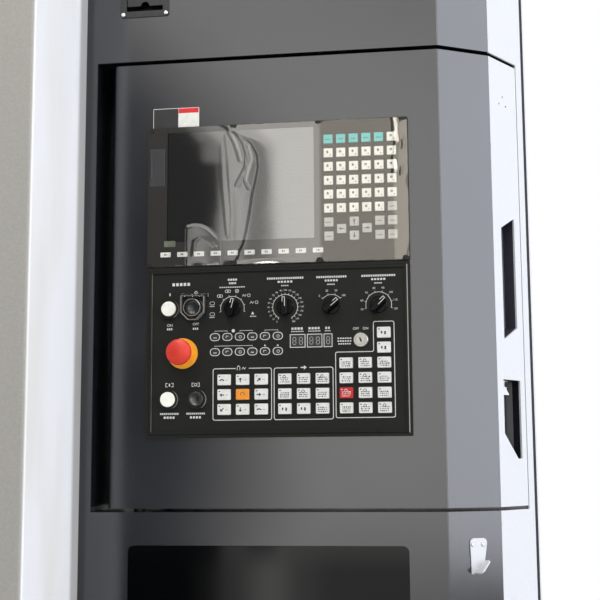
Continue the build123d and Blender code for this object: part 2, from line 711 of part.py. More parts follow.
def console_shell():
    """Welded box: left wall, front, chamfer, top and bottom. The facet and the rear are covers."""
    wall = bend(strip_face(CONSOLE_PATH, 0, 3), FOLD1, BEND_R)
    wall = bend(wall, (CONSOLE_LEFT, 0.0), CONSOLE_EDGE_R)
    inside_corner = (CONSOLE_LEFT + SKIN, SKIN)
    wall = bend(wall, inside_corner, CONSOLE_EDGE_R - SKIN)
    shell = extrude(Pos(0, 0, CONSOLE_BOTTOM) * wall, amount=CONSOLE_H)
    floor = bend(polygon(console_floor_plan(SKIN, CONSOLE_DEPTH)), inside_corner, CONSOLE_EDGE_R - SKIN)
    for z0 in (CONSOLE_BOTTOM, CONSOLE_TOP - SKIN):
        shell += extrude(Pos(0, 0, z0) * floor, amount=SKIN)
        shell -= upright_bore(PIVOT_X, PIVOT_Y, z0, z0 + SKIN, PIN_R + PIN_PLATE_FIT)
    shell -= pad(FRONT, 0, MDI_Z, MDI_BOX_W + 2 * UNIT_CUT_GAP, MDI_BOX_H + 2 * UNIT_CUT_GAP, -2 * SKIN, SKIN)
    shell -= pad(FRONT, 0, OP_MID, OP_BOX_W + 2 * UNIT_CUT_GAP, OP_H - 2 * OP_RIM, -2 * SKIN, SKIN)
    for x, z in mdi_screw_places():
        shell -= disc(FRONT, x, z, COVER_SCREW_SHANK_R + CLEAR, -2 * SKIN, SKIN)
    return shell


def slot_outline(grow=0.0):
    low, high = SLOT_Z0 - grow, SLOT_Z1 + grow
    return [(SLOT_S0 - grow, low), (SLOT_S1 + grow, low + SLOT_RISE), (SLOT_S1 + grow, high + SLOT_RISE),
            (SLOT_S0 - grow, high)]


def pocket_outline(grow=0.0):
    return [(POCKET_S0 - grow, POCKET_SLOPE_Z - grow / 2), (POCKET_S1 - POCKET_FLAT, POCKET_Z0 - grow),
            (POCKET_S1 + grow, POCKET_Z0 - grow), (POCKET_S1 + grow, POCKET_Z1 + grow),
            (POCKET_S0 - grow, POCKET_Z1 + grow)]


def console_side_cover():
    cover = strip(CONSOLE_PATH, 3, 4, CONSOLE_BOTTOM, CONSOLE_TOP)
    cover -= slab(FACET, rounded(slot_outline(), SLOT_CORNER_R), -2 * SKIN, SKIN)
    cover -= slab(FACET, rounded(pocket_outline(), SLOT_CORNER_R), -2 * SKIN, SKIN)
    for s, z in SIDE_HOLES:
        cover -= disc(FACET, s, z, SIDE_HOLE_R, -2 * SKIN, SKIN)
    return cover


def console_rear_cover():
    rear = CONSOLE_DEPTH + REAR_SHEET
    front_right = console_floor_plan(SKIN, CONSOLE_DEPTH)[-1]
    rear_right = console_floor_plan(SKIN, rear)[-1]
    points = [(CONSOLE_LEFT, CONSOLE_DEPTH), front_right, rear_right, (CONSOLE_LEFT, rear)]
    return prism(points, CONSOLE_BOTTOM, CONSOLE_TOP)


def in_front_of(y):
    reach = SIDE_X - POST_LEFT
    return box(-reach, reach, -reach, y, CONSOLE_BOTTOM, CONSOLE_TOP)


def cup(outline, depth, radius):
    """Open cup that seats on the inside of the white facet and stops short of the rear cover."""
    rear = CONSOLE_DEPTH - CLEAR
    outer = slab(FACET, rounded(outline(CUP_WALL), radius), -SKIN - depth, -SKIN) & in_front_of(rear)
    hollow = slab(FACET, rounded(outline(), radius), -SKIN - depth + CUP_WALL, -SKIN + 1)
    return outer - (hollow & in_front_of(rear - CUP_WALL))


def pull_cup():
    return cup(slot_outline, CUP_DEPTH, SLOT_CORNER_R)


def pocket_cup():
    return cup(pocket_outline, POCKET_DEPTH, SLOT_CORNER_R)


TAB_TOP = POCKET_Z1 - SLOT_CORNER_R - CLEAR
TAB_SCREW = (POCKET_S0 + TAB_SCREW_IN, TAB_TOP - TAB_SCREW_DROP)


def pocket_bracket():
    """Small white angle on the pocket's side wall, with a pointed foot below its screw."""
    left, low = POCKET_S0, TAB_TOP - TAB_H
    face = polygon([(left, TAB_TOP), (left + TAB_W, TAB_TOP), (left + TAB_W, TAB_SCREW[1]),
                    (left + TAB_NOTCH_W, low + TAB_NOTCH_RISE), (left + TAB_FOOT_W, low + TAB_FOOT_H),
                    (left + TAB_FOOT_W, low), (left, low)])
    bracket = slab(FACET, face, -TAB_IN - TAB_T, -TAB_IN)
    bracket += pad(FACET, left + TAB_T / 2, TAB_TOP - TAB_H / 2, TAB_T, TAB_H, -TAB_LEG_D, -TAB_IN - TAB_T)
    return bracket - disc(FACET, *TAB_SCREW, COVER_SCREW_SHANK_R + PIN_FIT, -TAB_IN - TAB_T, -TAB_IN)


def pivot_pins():
    """Flanged pins inside the console's top and bottom plates. The lower one has a thrust collar."""
    top_flange = CONSOLE_TOP - SKIN
    upper = upright_rod(PIVOT_X, PIVOT_Y, top_flange - PIN_FLANGE_T, top_flange, PIN_FLANGE_R)
    upper += upright_rod(PIVOT_X, PIVOT_Y, top_flange, BAY_Z1 + BAY_SHEET + BLOCK_H - PIN_END_GAP, PIN_R)
    low_flange = CONSOLE_BOTTOM + SKIN
    lower = upright_rod(PIVOT_X, PIVOT_Y, low_flange, low_flange + PIN_FLANGE_T, PIN_FLANGE_R)
    lower += upright_rod(PIVOT_X, PIVOT_Y, BAY_Z0 - BAY_SHEET - BLOCK_H + PIN_END_GAP, low_flange, PIN_R)
    lower += upright_rod(PIVOT_X, PIVOT_Y, BAY_Z0 + CLEAR, CONSOLE_BOTTOM, COLLAR_R)
    return Compound(children=[upper, lower])


# Display unit

def mdi_key_places():
    """Six full rows of six keys, then two rows whose middle four keys form an arrow cross."""
    places = []
    for row in range(MDI_FULL_ROWS):
        for column in range(MDI_COLUMNS):
            places.append((MDI_KEY_X + column * MDI_KEY_PITCH_X, MDI_KEY_Z - row * MDI_KEY_PITCH_Z))
    for row in (MDI_FULL_ROWS, MDI_FULL_ROWS + 1):
        for column in (0, 2, MDI_COLUMNS - 2, MDI_COLUMNS - 1):
            places.append((MDI_KEY_X + column * MDI_KEY_PITCH_X, MDI_KEY_Z - row * MDI_KEY_PITCH_Z))
    arrow_z = MDI_KEY_Z - (MDI_FULL_ROWS + 0.5) * MDI_KEY_PITCH_Z
    places += [(MDI_KEY_X + column * MDI_KEY_PITCH_X, arrow_z) for column in (1, 3)]
    return places


def mdi_screw_places():
    rows = (MDI_BOTTOM + MDI_SCREW_IN_Z, MDI_TOP - MDI_SCREW_IN_Z)
    columns = (MDI_LEFT + MDI_SCREW_IN_X, -MDI_SCREW_INNER_X, MDI_SCREW_INNER_X, MDI_RIGHT - MDI_SCREW_IN_X)
    return [(x, z) for z in rows for x in columns]


FLAP_X = FLAP_LEFT + FLAP_W / 2
FLAP_Z = FLAP_TOP - FLAP_H / 2
CARD_X = FLAP_LEFT + CARD_BAY_IN + CARD_BAY_W / 2
CARD_H = FLAP_H - 2 * CARD_BAY_END


def mdi_panel():
    """Front panel with the display opening, the card bay and the keys embossed in its membrane."""
    panel = pad(FRONT, 0, MDI_Z, MDI_W, MDI_H, 0, MDI_T, MDI_CORNER_R)
    lcd_w, lcd_h = LCD_RIGHT - LCD_LEFT, LCD_TOP - LCD_BOTTOM
    panel -= pad(FRONT, (LCD_LEFT + LCD_RIGHT) / 2, (LCD_BOTTOM + LCD_TOP) / 2, lcd_w, lcd_h, 0, MDI_T)
    panel += pad(FRONT, CARD_X, FLAP_Z, CARD_BAY_W + 2 * CARD_BAY_WALL, CARD_H + 2 * CARD_BAY_WALL,
                 -CARD_BAY_D - CARD_BAY_WALL, 0)
    flap_seat = MDI_T - FLAP_T - CLEAR
    panel -= pad(FRONT, FLAP_X, FLAP_Z, FLAP_W + 2 * CLEAR, FLAP_H + 2 * CLEAR, flap_seat, MDI_T + 1)
    panel -= pad(FRONT, CARD_X, FLAP_Z, CARD_BAY_W, CARD_H, -CARD_BAY_D, MDI_T)
    for x, z in mdi_screw_places():
        panel -= disc(FRONT, x, z, COVER_SCREW_SHANK_R + CLEAR, 0, MDI_T)
    keys = [pad(FRONT, x, z, MDI_KEY, MDI_KEY, MDI_T - 1, MDI_T + MDI_KEY_PROUD) for x, z in mdi_key_places()]
    for index in range(SOFT_COUNT):
        keys.append(pad(FRONT, SOFT_X + index * SOFT_PITCH, SOFT_Z, SOFT_W, SOFT_H, MDI_T - 1,
                        MDI_T + MDI_KEY_PROUD))
    return panel.fuse(*keys)


def display_glass():
    face = MDI_T - LCD_RECESS
    return box(LCD_LEFT + CLEAR, LCD_RIGHT - CLEAR, -face, -face + LCD_T,
               CONSOLE_BOTTOM + LCD_BOTTOM + CLEAR, CONSOLE_BOTTOM + LCD_TOP - CLEAR)


def control_boxes():
    """Electronics boxes: one behind the display, one behind the operator panel."""
    left = FLAP_LEFT + FLAP_W + CARD_BAY_END
    display = box(left, MDI_BOX_W / 2, 0, MDI_BOX_D, CONSOLE_BOTTOM + MDI_Z - MDI_BOX_H / 2,
                  CONSOLE_BOTTOM + MDI_Z + MDI_BOX_H / 2)
    display = chamfer([e for e in display.edges() if e.center().Y > MDI_BOX_D - 1], MDI_BOX_CHAMFER)
    half = OP_H / 2 - OP_RIM - OP_BOX_INSET
    panel = box(-OP_BOX_W / 2, OP_BOX_W / 2, OP_BOX_GAP, OP_BOX_GAP + OP_BOX_D,
                CONSOLE_BOTTOM + OP_MID - half, CONSOLE_BOTTOM + OP_MID + half)
    return Compound(children=[display, panel])


def card_flap():
    """Cover of the card bay, with a round bead on its hinge line and a grip ridge at its left edge."""
    plate = pad(FRONT, FLAP_X, FLAP_Z, FLAP_W, FLAP_H, MDI_T - FLAP_T, MDI_T)
    hinge_edges = [e for e in plate.edges().filter_by(Axis.Z) if e.center().X > FLAP_X]
    plate = fillet(hinge_edges, FLAP_BEAD_R - 0.01)
    ridge = pad(FRONT, FLAP_LEFT + FLAP_RIDGE_IN, FLAP_Z, FLAP_RIDGE_W,
                FLAP_H * FLAP_RIDGE_SHARE, MDI_T,
                MDI_T + FLAP_RIDGE_PROUD)
    crest = [e for e in ridge.edges().filter_by(Axis.Z) if e.center().Y < -MDI_T - FLAP_RIDGE_PROUD / 2]
    return plate + chamfer(crest, FLAP_RIDGE_CHAMFER)


def console_screws():
    screws = [pan_screw(FRONT, x, z, MDI_T, 3 * SKIN, MDI_SCREW_R, MDI_SCREW_HEAD)
              for x, z in mdi_screw_places()]
    screws.append(pan_screw(FACET, *TAB_SCREW, -TAB_IN, 2 * TAB_T, TAB_SCREW_R, TAB_SCREW_HEAD))
    return Compound(children=screws)


def protective_film():
    front = MDI_T + MDI_SCREW_HEAD + CLEAR
    return box(FILM_LEFT, MDI_RIGHT - FILM_IN, -front - FILM_T, -front,
               CONSOLE_BOTTOM + MDI_BOTTOM + FILM_IN, CONSOLE_BOTTOM + MDI_TOP - FILM_IN)


# Operator panel

BUTTON_HOLE_R = BUTTON_R + BUTTON_PLAY


def pad_keys(left, rows):
    return [(left + column * KEY_PITCH_X, KEY_BOTTOM_Z + row * KEY_PITCH_Z)
            for row in range(rows) for column in range(PAD_COLUMNS)]


def jog_keys():
    return pad_keys(JOG_X, PAD_ROWS)


def function_keys():
    x = RIGHT_X + (PAD_COLUMNS - 1) * KEY_PITCH_X
    return [(x, KEY_BOTTOM_Z + row * KEY_PITCH_Z) for row in range(FUNCTION_ROWS)]


def fixed_keys():
    """Keys that are fused to the panel, because the part has no more node names to give."""
    right = [(x, z) for x, z in pad_keys(RIGHT_X, RIGHT_ROWS) if (x, z) not in function_keys()]
    return pad_keys(MIDDLE_X, PAD_ROWS) + right


def round_buttons():
    return [(POWER_ON_X, CONTROL_ROW_Z), (POWER_OFF_X, CONTROL_ROW_Z), (CYCLE_START_X, CYCLE_Z),
            (CYCLE_STOP_X, CYCLE_Z)]


def guard_axis():
    """Hinge line of the clear guard: y and height above the console's bottom."""
    return -(OP_FACE + GUARD_HINGE_OUT), CONTROL_ROW_Z + GUARD_H / 2 + GUARD_HINGE_R


def guard_ears():
    y, z = guard_axis()
    ears = []
    for side in (-1, 1):
        x = POWER_OFF_X + side * (GUARD_W / 2 + GUARD_EAR_T / 2 + CLEAR)
        ear = pad(FRONT, x, z, GUARD_EAR_T, 2 * GUARD_HINGE_R + 1, OP_FACE - 1, -y + GUARD_HINGE_R)
        pin = Pos(POWER_OFF_X + side * (GUARD_W / 2 - 1), y, CONSOLE_BOTTOM + z)
        ears += [ear, pin * Rot(0, 90, 0) * Cylinder(GUARD_HINGE_PIN_R, GUARD_HINGE_PIN_L)]
    return ears


def op_frame():
    """Flat panel with a low outer band and a raised inner ridge, bevelled towards the band."""
    frame = pad(FRONT, 0, OP_MID, OP_W, OP_H, 0, OP_RIM_LOW, OP_CORNER_R)
    out = OP_RIM - OP_RIDGE_W
    ridge = pad(FRONT, 0, OP_MID, OP_W - 2 * out, OP_H - 2 * out, OP_FACE, OP_RIM_PROUD)
    crest = [e for e in ridge.edges() if e.center().Y < -OP_RIM_PROUD + 0.1]
    frame += chamfer(crest, OP_RIDGE_CHAMFER)
    return frame - pad(FRONT, 0, OP_MID, OP_W - 2 * OP_RIM, OP_H - 2 * OP_RIM, OP_FACE, OP_RIM_PROUD)


def op_panel():
    """Rimmed panel with bezels, key openings and the fused keys."""
    panel = op_frame()
    added = []
    for x, z in round_buttons():
        added.append(disc(FRONT, x, z, BEZEL_R, OP_FACE - 1, OP_FACE + BEZEL_PROUD))
    for x, z in fixed_keys():
        added.append(pad(FRONT, x, z, KEY_W, KEY_H, OP_FACE - 1, OP_FACE + KEY_PROUD, KEY_CORNER_R))
    added += guard_ears()
    post_x = OP_W / 2 - OP_POST_IN
    post_z = OP_H / 2 - OP_POST_IN_Z
    for sx in (-1, 1):
        for sz in (-1, 1):
            added.append(disc(FRONT, sx * post_x, OP_MID + sz * post_z, OP_POST_R, -OP_BOX_GAP,
                              OP_POST_ROOT))
    panel = panel.fuse(*added)
    for x, z in round_buttons():
        panel -= disc(FRONT, x, z, BUTTON_HOLE_R, 0, OP_FACE + BEZEL_PROUD)
    for x, z in jog_keys() + function_keys():
        panel -= pad(FRONT, x, z, KEY_W + 2 * KEY_PLAY, KEY_H + 2 * KEY_PLAY, 0, OP_FACE, KEY_CORNER_R)
    for name in KNOB_X:
        panel -= disc(FRONT, KNOB_X[name], KNOB_ROW_Z, KNOB_SHAFT_R + PIN_FIT, 0, OP_FACE)
    panel -= disc(FRONT, LOCK_X, LOCK_Z, LOCK_SHANK_R + CLEAR, 0, OP_FACE)
    return panel - disc(FRONT, ESTOP_X, ESTOP_Z, ESTOP_COLLAR_R + CLEAR, 0, OP_FACE)


def round_button(x, z, dished=False):
    """Push button cap with a retaining flange behind the panel. The stop buttons have a dished face."""
    front = OP_FACE + BUTTON_PROUD
    cap = disc(FRONT, x, z, BUTTON_R, -CLEAR, front)
    rim = [e for e in cap.edges().filter_by(GeomType.CIRCLE) if e.center().Y < -front + 1]
    cap = fillet(rim, BUTTON_FILLET)
    if dished:
        ball_r = (DISH_R ** 2 + DISH_DEPTH ** 2) / (2 * DISH_DEPTH)
        cap -= Pos(x, DISH_DEPTH - front - ball_r, CONSOLE_BOTTOM + z) * Sphere(ball_r)
    return cap + disc(FRONT, x, z, BUTTON_FLANGE_R, -CLEAR - BUTTON_FLANGE_T, -CLEAR)


def power_off_guard():
    """Clear flip cover: eight-sided box with a thick ring on its face, hinged at its top edge."""
    y, hinge_z = guard_axis()
    half, low, high = GUARD_W / 2, CONTROL_ROW_Z - GUARD_H / 2, CONTROL_ROW_Z + GUARD_H / 2
    x, cut = POWER_OFF_X, GUARD_CORNER
    outline = [(x - half, high), (x - half, low + cut), (x - half + cut, low), (x + half - cut, low),
               (x + half, low + cut), (x + half, high)]
    back, front = OP_FACE + CLEAR, OP_FACE + GUARD_D
    cover = slab(FRONT, polygon(outline), back, front)
    w = GUARD_WALL
    inner = [(x - half + w, high - w), (x - half + w, low + cut + w / 2), (x - half + cut + w / 2, low + w),
             (x + half - cut - w / 2, low + w), (x + half - w, low + cut + w / 2), (x + half - w, high - w)]
    cover -= slab(FRONT, polygon(inner), back, front - w)
    ring = disc(FRONT, x, CONTROL_ROW_Z, GUARD_RING_R, front - w, front + w)
    ring -= disc(FRONT, x, CONTROL_ROW_Z, GUARD_RING_R - w, front, front + w)
    rail = -y - GUARD_HINGE_R
    cover -= pad(FRONT, x, high - w / 2, GUARD_W, w, back, rail)
    knuckle = Pos(x, y, CONSOLE_BOTTOM + hinge_z) * Rot(0, 90, 0) * Cylinder(GUARD_HINGE_R, GUARD_W)
    web = pad(FRONT, x, high + w / 2, GUARD_W, w * 2, -y - w / 2, -y + GUARD_HINGE_R)
    guard = cover.fuse(ring, knuckle, web)
    return guard - Pos(x, y, CONSOLE_BOTTOM + hinge_z) * Rot(0, 90, 0) * Cylinder(
        GUARD_HINGE_PIN_R + PIN_FIT, GUARD_W)


def estop_base():
    """Yellow ring on the panel with the black collar and threaded body through it."""
    ring = disc(FRONT, ESTOP_X, ESTOP_Z, ESTOP_RING_R, OP_FACE, OP_FACE + ESTOP_RING_T)
    front = OP_FACE + ESTOP_COLLAR
    collar = disc(FRONT, ESTOP_X, ESTOP_Z, ESTOP_COLLAR_R, -ESTOP_REAR, front)
    return ring + collar - disc(FRONT, ESTOP_X, ESTOP_Z, ESTOP_STEM_R + PIN_FIT, -ESTOP_REAR, front)


ESTOP_HEAD_BACK = OP_FACE + ESTOP_COLLAR + ESTOP_HEAD_GAP


def estop_stem():
    rear = -ESTOP_REAR - CLEAR
    stem = disc(FRONT, ESTOP_X, ESTOP_Z, ESTOP_STEM_R, rear, ESTOP_HEAD_BACK + ESTOP_SEAT - CLEAR)
    flange_r = ESTOP_STEM_R + ESTOP_STEM_FLANGE
    return stem + disc(FRONT, ESTOP_X, ESTOP_Z, flange_r, rear - ESTOP_STEM_FLANGE_T, rear)


def estop_head():
    """Mushroom head, turned from a profile, with a blind seat for the stem."""
    r, h = ESTOP_HEAD_R, ESTOP_HEAD_H
    seat_r = ESTOP_STEM_R + PIN_FIT
    shoulder = (r * 0.95, h * 0.8)
    sagitta = h - shoulder[1]
    sphere_r = (shoulder[0] ** 2 + sagitta ** 2) / (2 * sagitta)
    halfway = shoulder[0] / 2
    crest = (halfway, h - sphere_r + math.sqrt(sphere_r ** 2 - halfway ** 2))
    rise = Polyline((0, h), (0, ESTOP_SEAT), (seat_r, ESTOP_SEAT), (seat_r, 0), (seat_r + ESTOP_SEAT_WALL, 0),
                    (r * 0.94, h * 0.4))
    brim = ThreePointArc((r * 0.94, h * 0.4), (r, h * 0.62), shoulder)
    dome = ThreePointArc(shoulder, crest, (0, h))
    turned = revolve(Plane.XZ * make_face(rise + brim + dome), Axis.Z)
    place = Plane(origin=FRONT.from_local_coords((ESTOP_X, ESTOP_Z, ESTOP_HEAD_BACK)), z_dir=(0, -1, 0))
    return place * turned


def selector_knob(x, rest_angle):
    """Low round skirt with a tall bar grip that narrows towards its crest, a pointer groove and the shaft."""
    seat = OP_FACE + CLEAR
    shoulder = seat + KNOB_SKIRT_H
    top = shoulder + KNOB_GRIP_H
    skirt = disc(FRONT, x, KNOB_ROW_Z, KNOB_SKIRT_R, seat, shoulder)
    rim = [e for e in skirt.edges().filter_by(GeomType.CIRCLE) if e.center().Y < -seat - 1]
    skirt = chamfer(rim, KNOB_SKIRT_H * 0.4)
    turn = Pos(x, KNOB_ROW_Z) * Rot(0, 0, -rest_angle)
    foot = FRONT.offset(shoulder - 1) * (turn * SlotOverall(KNOB_GRIP_L, KNOB_GRIP_W, rotation=90))
    crest = FRONT.offset(top) * (turn * SlotOverall(KNOB_GRIP_L, KNOB_CREST_W, rotation=90))
    grip = loft([foot, crest])
    grip = chamfer([e for e in grip.edges() if e.center().Y < -top + 0.5], KNOB_CHAMFER)
    groove = Pos(0, KNOB_GRIP_L / 4) * Rectangle(KNOB_GROOVE_W, KNOB_GRIP_L / 2)
    grip -= slab(FRONT, turn * groove, top - KNOB_GROOVE_D, top)
    return skirt + grip + disc(FRONT, x, KNOB_ROW_Z, KNOB_SHAFT_R, -KNOB_SHAFT_REAR, seat)


def key_lock_body():
    """Silver ring on the panel with its round shank and the barrel's bore."""
    front = OP_FACE + LOCK_PROUD
    ring = disc(FRONT, LOCK_X, LOCK_Z, LOCK_RING_R, OP_FACE, front)
    rim = [e for e in ring.edges().filter_by(GeomType.CIRCLE) if e.center().Y < -OP_FACE - 1]
    ring = chamfer(rim, LOCK_RING_CHAMFER)
    shank = disc(FRONT, LOCK_X, LOCK_Z, LOCK_SHANK_R, -LOCK_SHANK_REAR, OP_FACE)
    return ring + shank - disc(FRONT, LOCK_X, LOCK_Z, LOCK_BARREL_R + PIN_FIT, -LOCK_BARREL_REAR, front)


def key_lock_barrel():
    front = OP_FACE + LOCK_PROUD + LOCK_BARREL_PROUD
    barrel = disc(FRONT, LOCK_X, LOCK_Z, LOCK_BARREL_R, -LOCK_BARREL_REAR + CLEAR, front)
    slot = Pos(LOCK_X, LOCK_Z) * Rot(0, 0, LOCK_SLOT_ANGLE) * Rectangle(LOCK_SLOT_W, LOCK_SLOT_L)
    return barrel - slab(FRONT, slot, front - LOCK_SLOT_D, front)


def machine_key(x, z):
    """Key cap in its opening, with a retaining flange behind the panel."""
    cap = pad(FRONT, x, z, KEY_W, KEY_H, -CLEAR, OP_FACE + KEY_PROUD, KEY_CORNER_R)
    face = [e for e in cap.edges() if e.center().Y < -OP_FACE - KEY_PROUD + 0.1]
    cap = chamfer(face, KEY_CHAMFER)
    return cap + pad(FRONT, x, z, KEY_W + 2 * KEY_FLANGE, KEY_H + 2 * KEY_FLANGE, -CLEAR - KEY_FLANGE_T, -CLEAR)


def all_nodes():
    nodes = {
        "front_cover": front_cover(),
        "side_cover": side_cover(),
        "edge_seal": edge_seal(),
        "side_panel": side_panel(),
        "back_panel": back_panel(),
        "door_post": door_post(),
        "top_cap": top_cap(),
        "base_plate": base_plate(),
        "inner_frame": inner_frame(),
        "levelling_feet": levelling_feet(),
        "bay_liner": bay_liner(),
        "window_pane": window_pane(),
        "window_frame": window_frame(),
        "coat_hook": coat_hook(),
        "latch_dish": latch_dish(),
        "latch_paddle": latch_paddle(),
        "cover_screws": cover_screws(),
        "console_shell": console_shell(),
        "console_side_cover": console_side_cover(),
        "console_rear_cover": console_rear_cover(),
        "pull_cup": pull_cup(),
        "pocket_cup": pocket_cup(),
        "pocket_bracket": pocket_bracket(),
        "pivot_pins": pivot_pins(),
        "mdi_panel": mdi_panel(),
        "display_glass": display_glass(),
        "control_boxes": control_boxes(),
        "card_flap": card_flap(),
        "console_screws": console_screws(),
        "protective_film": protective_film(),
        "op_panel": op_panel(),
        "power_on_button": round_button(POWER_ON_X, CONTROL_ROW_Z),
        "power_off_button": round_button(POWER_OFF_X, CONTROL_ROW_Z, dished=True),
        "power_off_guard": power_off_guard(),
        "estop_base": estop_base(),
        "estop_stem": estop_stem(),
        "estop_head": estop_head(),
        "cycle_start_button": round_button(CYCLE_START_X, CYCLE_Z),
        "cycle_stop_button": round_button(CYCLE_STOP_X, CYCLE_Z, dished=True),
        "key_lock_body": key_lock_body(),
        "key_lock_barrel": key_lock_barrel(),
    }
    for name in KNOB_X:
        nodes[name + "_knob"] = selector_knob(KNOB_X[name], KNOB_REST[name])
    for number, (x, z) in enumerate(jog_keys(), start=1):
        nodes[f"jog_key_{number}"] = machine_key(x, z)
    for number, (x, z) in enumerate(function_keys(), start=1):
        nodes[f"function_key_{number}"] = machine_key(x, z)
    return nodes


ORIGIN = Pos(-(POST_LEFT + SIDE_X) / 2, -(POST_FRONT + BACK_Y) / 2, 0)

os.makedirs("parts", exist_ok=True)
for node_name, shape in all_nodes().items():
    export_step(ORIGIN * shape, f"parts/{node_name}.step")
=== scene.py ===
"""Looks of the machining center operator station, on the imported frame. Metres, +Z up, front towards -Y."""
import math
import random

import bmesh
import bpy
from mathutils import Matrix, Vector


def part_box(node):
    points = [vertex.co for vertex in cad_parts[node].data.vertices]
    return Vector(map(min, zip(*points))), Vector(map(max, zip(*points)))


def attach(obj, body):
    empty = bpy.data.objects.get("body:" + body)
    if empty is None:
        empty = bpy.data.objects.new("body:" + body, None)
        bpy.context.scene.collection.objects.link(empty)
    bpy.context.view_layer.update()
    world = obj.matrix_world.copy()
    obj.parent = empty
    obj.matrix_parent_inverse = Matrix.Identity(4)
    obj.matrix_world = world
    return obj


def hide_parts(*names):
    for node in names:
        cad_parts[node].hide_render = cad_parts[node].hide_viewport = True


MM = 0.001

# The console's front plane in the row frame, in millimetres: x is the same, z counts from its bottom
FRONT_Y = -56.0
CONSOLE_BOTTOM = 1000.0
OP_FACE = 5.0
MDI_FACE = 4.5
PRINT_LIFT = 0.06

# Camera, solved from the photograph
CAMERA_PLACE = (291.7, -1812.8, 1062.4)
CAMERA_LEFT = 8.33
CAMERA_UP = 7.84
CAMERA_ROLL = -0.38
CAMERA_LENS = 72.0
CAMERA_SENSOR = 36.0

FLOOR_HALF = 4.5

# What gloss mirrors: brightness at places across (x over y) and up the surroundings
AMBIENT = 0.4
MIRROR_TINT = (1.0, 0.985, 0.955)
BAND_TOP = 8.0
SIDE_BANDS = ((-1.0, 0.4), (-0.42, 0.1), (-0.2175, 0.1), (-0.2115, 1.6), (-0.2, 1.95), (-0.1945, 1.8),
              (-0.1905, 0.6), (-0.187, 0.85), (-0.168, 1.05), (-0.1635, 2.85), (-0.05, 2.75), (0.24, 1.9),
              (0.3, 8.0), (0.5, 8.0), (0.6, 1.0), (1.0, 1.0))
HIGH_SIDE_BANDS = SIDE_BANDS[:2] + ((-0.2345, 0.1), (-0.2325, 0.7), (-0.2165, 0.8)) + SIDE_BANDS[3:]
LOW_SIDE_BANDS = ((-1.0, 0.2), (-0.42, 0.02), (-0.245, 0.02), (-0.226, 0.3), (-0.206, 1.5), (-0.172, 3.7),
                  (-0.146, 2.0), (-0.12, 1.4), (0.24, 1.2), (0.32, 3.0), (0.5, 3.0), (0.6, 0.8), (1.0, 0.8))
HEIGHT_BANDS = ((-1.0, 0.2), (-0.3, 0.5), (-0.16, 0.85), (-0.1, 1.0), (0.28, 1.0), (0.42, 0.9), (1.0, 0.75))
LOW_BANDS_AT = (-0.085, -0.06)
HIGH_BANDS_AT = (0.2465, 0.249)
LEAN_FROM = 0.262
LEAN = 1.3

# Operator panel, on the console's front plane
KNOB_ROW_Z = 296.3
DIALS = {"mode": -67.4, "feed": 12.8, "rapid": 82.4, "spindle": 152.4}
KNOB_REST = {"mode": 15.0, "feed": 0.0, "rapid": 50.0, "spindle": 45.0}
KNOB_FRONT = 23.3
KNOB_GRIP_L = 28.4
POINTER_W = 0.9
POINTER_HALF_W = 1.8
ARC_R = {"mode": 18.0, "feed": 18.8, "rapid": 17.0, "spindle": 19.0}
TICK = 2.4
NUMBER_GAP = 6.6
LOCK = (125.2, 244.8)
LOCK_PROUD = 4.0
LOCK_BARREL_R = 6.8
LOCK_BARREL_PROUD = 0.6
LOCK_SLOT_ANGLE = 20.0
POWER_OFF_X = -125.5
GUARD_W = 36.5
GUARD_CORNER = 11.5
GUARD_D = 17.0
GUARD_WALL = 1.6
GUARD_RING_R = 13.5
GUARD_STEP = 0.55
KEY_W = 20.0
KEY_H = 16.0
KEY_PROUD = 3.0
KEY_CORNER = 1.6
KEY_PITCH_X = 28.0
KEY_PITCH_Z = 22.0
KEY_BOTTOM_Z = 145.0
JOG_X = -79.5
MIDDLE_X = 11.9
RIGHT_X = 103.3
LAMPS_X = (-94.0, -75.0, -56.0, -37.0, -18.0, 1.4)
LAMPS_Z = (253.4, 230.8)
LAMP_W = 14.2
LAMP_H = 10.6
WINDOWS_X = ((20.1, 42.4), (45.8, 67.6), (70.7, 82.7))
WINDOWS_Z = (235.6, 254.6)

# Display unit
MDI_KEY = 14.0
MDI_KEY_PROUD = 1.2
MDI_KEY_X = 79.6
MDI_KEY_Z = 550.6
MDI_PITCH_X = 19.1
MDI_PITCH_Z = 21.294
SOFT_X = -171.1
SOFT_Z = 380.9
SOFT_PITCH = 26.0
SOFT_COUNT = 10
SOFT_W = 16.0
SOFT_H = 7.6

# Label plate and the small plate below the display
PLATE = (-193.7, -121.1, 580.1, 612.2)
PLATE_T = 0.5
PLATE_FIELD_X = -154.0
SMALL_PLATE = (-173.8, -156.1, 393.1, 402.2)

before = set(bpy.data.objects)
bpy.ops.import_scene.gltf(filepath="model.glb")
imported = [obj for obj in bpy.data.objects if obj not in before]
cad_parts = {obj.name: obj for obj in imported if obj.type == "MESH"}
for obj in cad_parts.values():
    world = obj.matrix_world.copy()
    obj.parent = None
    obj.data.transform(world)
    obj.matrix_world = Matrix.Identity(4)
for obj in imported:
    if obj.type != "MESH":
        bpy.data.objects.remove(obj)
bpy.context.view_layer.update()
POST_FRONT_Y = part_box("door_post")[0][1]


def linear(value):
    value /= 255.0
    return value / 12.92 if value <= 0.04045 else ((value + 0.055) / 1.055) ** 2.4


def rgb(red, green, blue):
    return (linear(red), linear(green), linear(blue), 1.0)


def front(x, z, out):
    """A point in front of the console's face, in metres."""
    return Vector((x * MM, (FRONT_Y - out) * MM, (CONSOLE_BOTTOM + z) * MM))


# Materials

